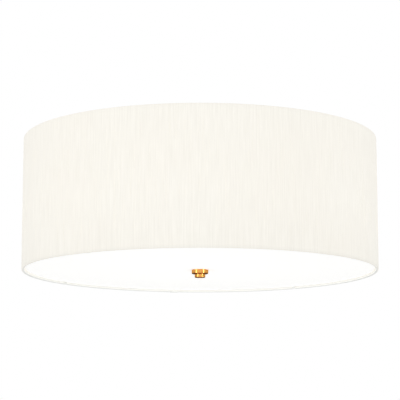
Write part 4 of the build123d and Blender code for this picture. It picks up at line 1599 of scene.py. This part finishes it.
@dataclass
class Suspension:
    """What carries the light: the threaded tube, the canopy's screws and the welded spider."""

    tube_radius: float = 5.0 * MM
    thread_bury: float = 0.02 * MM
    thread_rise: float = 0.16 * MM
    thread_sink: float = 0.2 * MM
    thread_pitch: float = 1.0 * MM
    thread_low: float = -253.0 * MM
    thread_high: float = -157.0 * MM
    thread_columns: int = 32
    rows_per_turn: int = 8
    screw_place: float = 62.5 * MM
    screw_level: float = -12.0 * MM
    screw_radius: float = 5.0 * MM
    knurl_count: int = 30
    knurl_radius: float = 0.3 * MM
    knurl_length: float = 3.4 * MM
    arm_count: int = 4
    arm_angle_deg: float = 45.0
    arm_half_width: float = 1.8 * MM
    weld_circle: float = 22.5 * MM
    weld_level: float = -72.8 * MM
    weld_size: tuple[float, float, float] = (2.4 * MM, 0.9 * MM, 0.9 * MM)

    def thread(self, shop: Workshop) -> None:
        """Builds the thread on the tube's bare length between its nuts.

        Args:
            shop: What it is made with.
        """
        length = self.thread_high - self.thread_low
        root = self.tube_radius - self.thread_bury
        inner = root - self.thread_sink
        sizes = {
            "Root Radius": root,
            "Depth": self.thread_rise,
            "Pitch": self.thread_pitch,
            "Length": length,
            "Columns": self.thread_columns,
            "Rows": round(length / self.thread_pitch) * self.rows_per_turn + 1,
        }
        wall = shop.grow(shop.trees.thread, "zinc_steel", sizes)
        sleeve = [(root, length), (inner, length), (inner, 0.0), (root, 0.0)]
        mesh = turned_mesh("centre_tube_thread", (sleeve,), self.thread_columns, wall)
        mesh.transform(Matrix.Translation((0.0, 0.0, self.thread_low)))
        shop.fit(new_object("centre_tube_thread", mesh), "fixture", "zinc_steel")

    def knurls(self, shop: Workshop) -> None:
        """Builds the knurls round the heads of the canopy's two side screws.

        Args:
            shop: What they are made with.
        """
        sizes = {
            "Count": self.knurl_count,
            "Circle Radius": self.screw_radius,
            "Rib Radius": self.knurl_radius,
            "Rib Length": self.knurl_length,
            "Level": self.screw_place,
        }
        ribs = shop.grow(shop.trees.ribs, "copper", sizes)
        sides = [ribs.copy() for _ in range(2)]
        for k, side in enumerate(sides):
            side.transform(along_x(self.screw_level, k * math.pi))
        mesh = joined_mesh("canopy_screw_knurls", sides)
        shop.fit(new_object("canopy_screw_knurls", mesh), "fixture", "copper")

    def welds(self, shop: Workshop) -> None:
        """Builds the beads that join the arms to the plate, one on each side of an arm.

        Args:
            shop: What they are made with.
        """
        beside = math.atan((self.arm_half_width + self.weld_size[1] / 2) / self.weld_circle)
        sizes = {
            "Count": self.arm_count,
            "Circle Radius": self.weld_circle,
            "Bead Size": self.weld_size,
            "Level": self.weld_level,
        }
        middle = math.radians(self.arm_angle_deg)
        rings = [
            shop.grow(shop.trees.beads, "white_paint", {**sizes, "First Angle": middle + side})
            for side in (-beside, beside)
        ]
        mesh = joined_mesh("spider_welds", rings)
        shop.fit(new_object("spider_welds", mesh), "fixture", "white_paint")

    def dress(self, shop: Workshop) -> None:
        """Builds the suspension's pieces.

        Args:
            shop: What they are made with.
        """
        self.thread(shop)
        self.knurls(shop)
        self.welds(shop)


@dataclass(frozen=True)
class Panel:
    """One panel beside the light, dark or lit, on an azimuth counted from the camera's."""

    azimuth_deg: float
    width: float
    low: float
    high: float
    glow: float = 0.0
    blocks_light: bool = False


@dataclass
class Studio:
    """The camera, the plain light and the pale floor."""

    azimuth_deg: float = -9.5
    distance: float = 2.8088
    eye_level: float = -0.6240
    pitch_deg: float = 9.660
    lens: float = 150.76
    sensor: float = 36.0
    view_reach: float = 100.0
    floor_level: float = -2.4
    floor_radius: float = 60.0
    floor_corners: int = 128
    floor_paint: Colour = (0.9, 0.9, 0.9)
    floor_white_share: float = 0.6
    ambient: float = 0.942
    strip_azimuths_deg: tuple[float, float] = (-53.0, 53.0)
    strip_distance: float = 2.4
    strip_level: float = -0.9
    strip_size: tuple[float, float] = (0.12, 1.8)
    strip_powers: tuple[float, float] = (7.4, 5.8)
    panel_paint: Colour = (0.02, 0.02, 0.02)
    panels: tuple[Panel, ...] = (
        Panel(azimuth_deg=-104.0, width=3.2, low=-2.3, high=0.9),
        Panel(azimuth_deg=104.0, width=3.2, low=-2.3, high=0.9),
        Panel(azimuth_deg=180.0, width=1.6, low=-1.4, high=-0.32),
        Panel(azimuth_deg=-102.0, width=0.5, low=-0.9, high=0.5, blocks_light=True),
        Panel(azimuth_deg=106.0, width=0.2, low=-0.8, high=0.4, blocks_light=True),
        Panel(azimuth_deg=-53.0, width=0.16, low=-1.9, high=-0.30, glow=28.0),
        Panel(azimuth_deg=53.0, width=0.16, low=-1.9, high=-0.30, glow=28.0),
    )

    def direction(self, azimuth_deg: float, elevation_deg: float = 0.0) -> Vector:
        """Points from the axis to an azimuth and an elevation.

        Args:
            azimuth_deg: The azimuth, counted from the front.
            elevation_deg: The elevation above the horizon.

        Returns:
            The unit vector.
        """
        a = math.radians(azimuth_deg)
        e = math.radians(elevation_deg)
        return Vector((math.sin(a) * math.cos(e), -math.cos(a) * math.cos(e), math.sin(e)))

    def camera(self) -> None:
        """Makes the camera that looks up at the light as the photograph does."""
        lens = bpy.data.cameras.new("camera")
        lens.lens = self.lens
        lens.sensor_width = self.sensor
        lens.clip_end = self.view_reach
        camera = bpy.data.objects.new("camera", lens)
        bpy.context.scene.collection.objects.link(camera)
        camera.location = self.direction(self.azimuth_deg) * self.distance
        camera.location.z = self.eye_level
        back = self.direction(self.azimuth_deg, -self.pitch_deg)
        camera.rotation_mode = "QUATERNION"
        camera.rotation_quaternion = (-back).to_track_quat("-Z", "Y")
        bpy.context.scene.camera = camera

    def world(self) -> None:
        """Makes the world: white to the eye and in reflections, and plain light elsewhere."""
        world = bpy.data.worlds.new("studio")
        world.use_nodes = True
        world.node_tree.nodes.clear()
        graph = Graph(world.node_tree)
        rays = graph.add("ShaderNodeLightPath").outputs
        seen = graph.math("MAXIMUM", rays["Is Camera Ray"], rays["Is Glossy Ray"])
        seen = graph.math("MAXIMUM", seen, rays["Is Transmission Ray"])
        level = graph.ramp(seen, 0.0, 1.0, self.ambient, 1.0)
        sky = graph.add("ShaderNodeBackground", {"Color": WHITE, "Strength": level})
        graph.add("ShaderNodeOutputWorld", {"Surface": sky.outputs[0]})
        bpy.context.scene.world = world

    def floor(self) -> None:
        """Makes the floor: pale, with the light's shadow, and clear from below."""
        corners = ring_points(self.floor_radius, self.floor_level, self.floor_corners)
        floor = new_object("floor", flat_mesh("floor", corners))
        material, graph = new_material("pale_floor")
        seen = graph.add("ShaderNodeLightPath").outputs["Is Camera Ray"]
        share = graph.math("MULTIPLY", seen, self.floor_white_share)
        paint = graph.add("ShaderNodeBsdfDiffuse", {"Color": rgba(self.floor_paint)}).outputs[0]
        white = graph.add("ShaderNodeEmission", {"Color": WHITE, "Strength": 1.0}).outputs[0]
        top = graph.add("ShaderNodeMixShader", {0: share, 1: paint, 2: white}).outputs[0]
        clear = graph.add("ShaderNodeBsdfTransparent").outputs[0]
        side = graph.add("ShaderNodeNewGeometry").outputs["Backfacing"]
        both = graph.add("ShaderNodeMixShader", {0: side, 1: top, 2: clear}).outputs[0]
        graph.add("ShaderNodeOutputMaterial", {"Surface": both})
        floor.data.materials.append(material)

    def strip(self, azimuth_deg: float, power: float) -> None:
        """Hangs one tall strip lamp.

        Args:
            azimuth_deg: Its azimuth, counted from the camera's.
            power: Its power in watts.
        """
        lamp = bpy.data.lights.new("strip", "AREA")
        lamp.shape = "RECTANGLE"
        lamp.size, lamp.size_y = self.strip_size
        lamp.energy = power
        out = self.direction(self.azimuth_deg + azimuth_deg)
        hung = bpy.data.objects.new("strip", lamp)
        bpy.context.scene.collection.objects.link(hung)
        hung.location = out * self.strip_distance + Vector((0.0, 0.0, self.strip_level))
        hung.rotation_mode = "QUATERNION"
        hung.rotation_quaternion = out.to_track_quat("Z", "Y")
        hung.visible_camera = False

    def panel(self, plan: Panel) -> None:
        """Stands one panel, which the camera doesn't see.

        Args:
            plan: Where it stands and what it does.
        """
        out = self.direction(self.azimuth_deg + plan.azimuth_deg)
        side = Vector((0.0, 0.0, 1.0)).cross(out) * (plan.width / 2)
        middle = out * self.strip_distance
        ends = ((-1, plan.low), (1, plan.low), (1, plan.high), (-1, plan.high))
        corners = [middle + side * way + Vector((0.0, 0.0, level)) for way, level in ends]
        piece = new_object("studio_panel", flat_mesh("studio_panel", corners))
        material, graph = new_material("studio_panel")
        inputs = {
            "Base Color": rgba(self.panel_paint),
            "Emission Color": WHITE,
            "Emission Strength": plan.glow,
        }
        shader = graph.add("ShaderNodeBsdfPrincipled", inputs)
        graph.add("ShaderNodeOutputMaterial", {"Surface": shader.outputs[0]})
        piece.data.materials.append(material)
        piece.visible_camera = False
        piece.visible_transmission = False
        piece.visible_diffuse = plan.blocks_light
        piece.visible_shadow = plan.blocks_light

    def set_up(self) -> None:
        """Makes the whole studio."""
        bpy.context.scene.view_settings.view_transform = "Standard"
        self.camera()
        self.world()
        self.floor()
        for azimuth, power in zip(self.strip_azimuths_deg, self.strip_powers):
            self.strip(azimuth, power)
        for plan in self.panels:
            self.panel(plan)
        log.info("studio is set")


def main() -> None:
    """Builds the studio and every sub-assembly in order."""
    logging.basicConfig(level=logging.INFO, format="%(name)s: %(message)s")
    Studio().set_up()
    shop = Workshop(FINISHES)
    shop.dress_nodes()
    DrumShade().dress(shop)
    for number in range(1, LAMP_COUNT + 1):
        Lamp(number).dress(shop)
    Suspension().dress(shop)


if __name__ == "__main__":
    main()
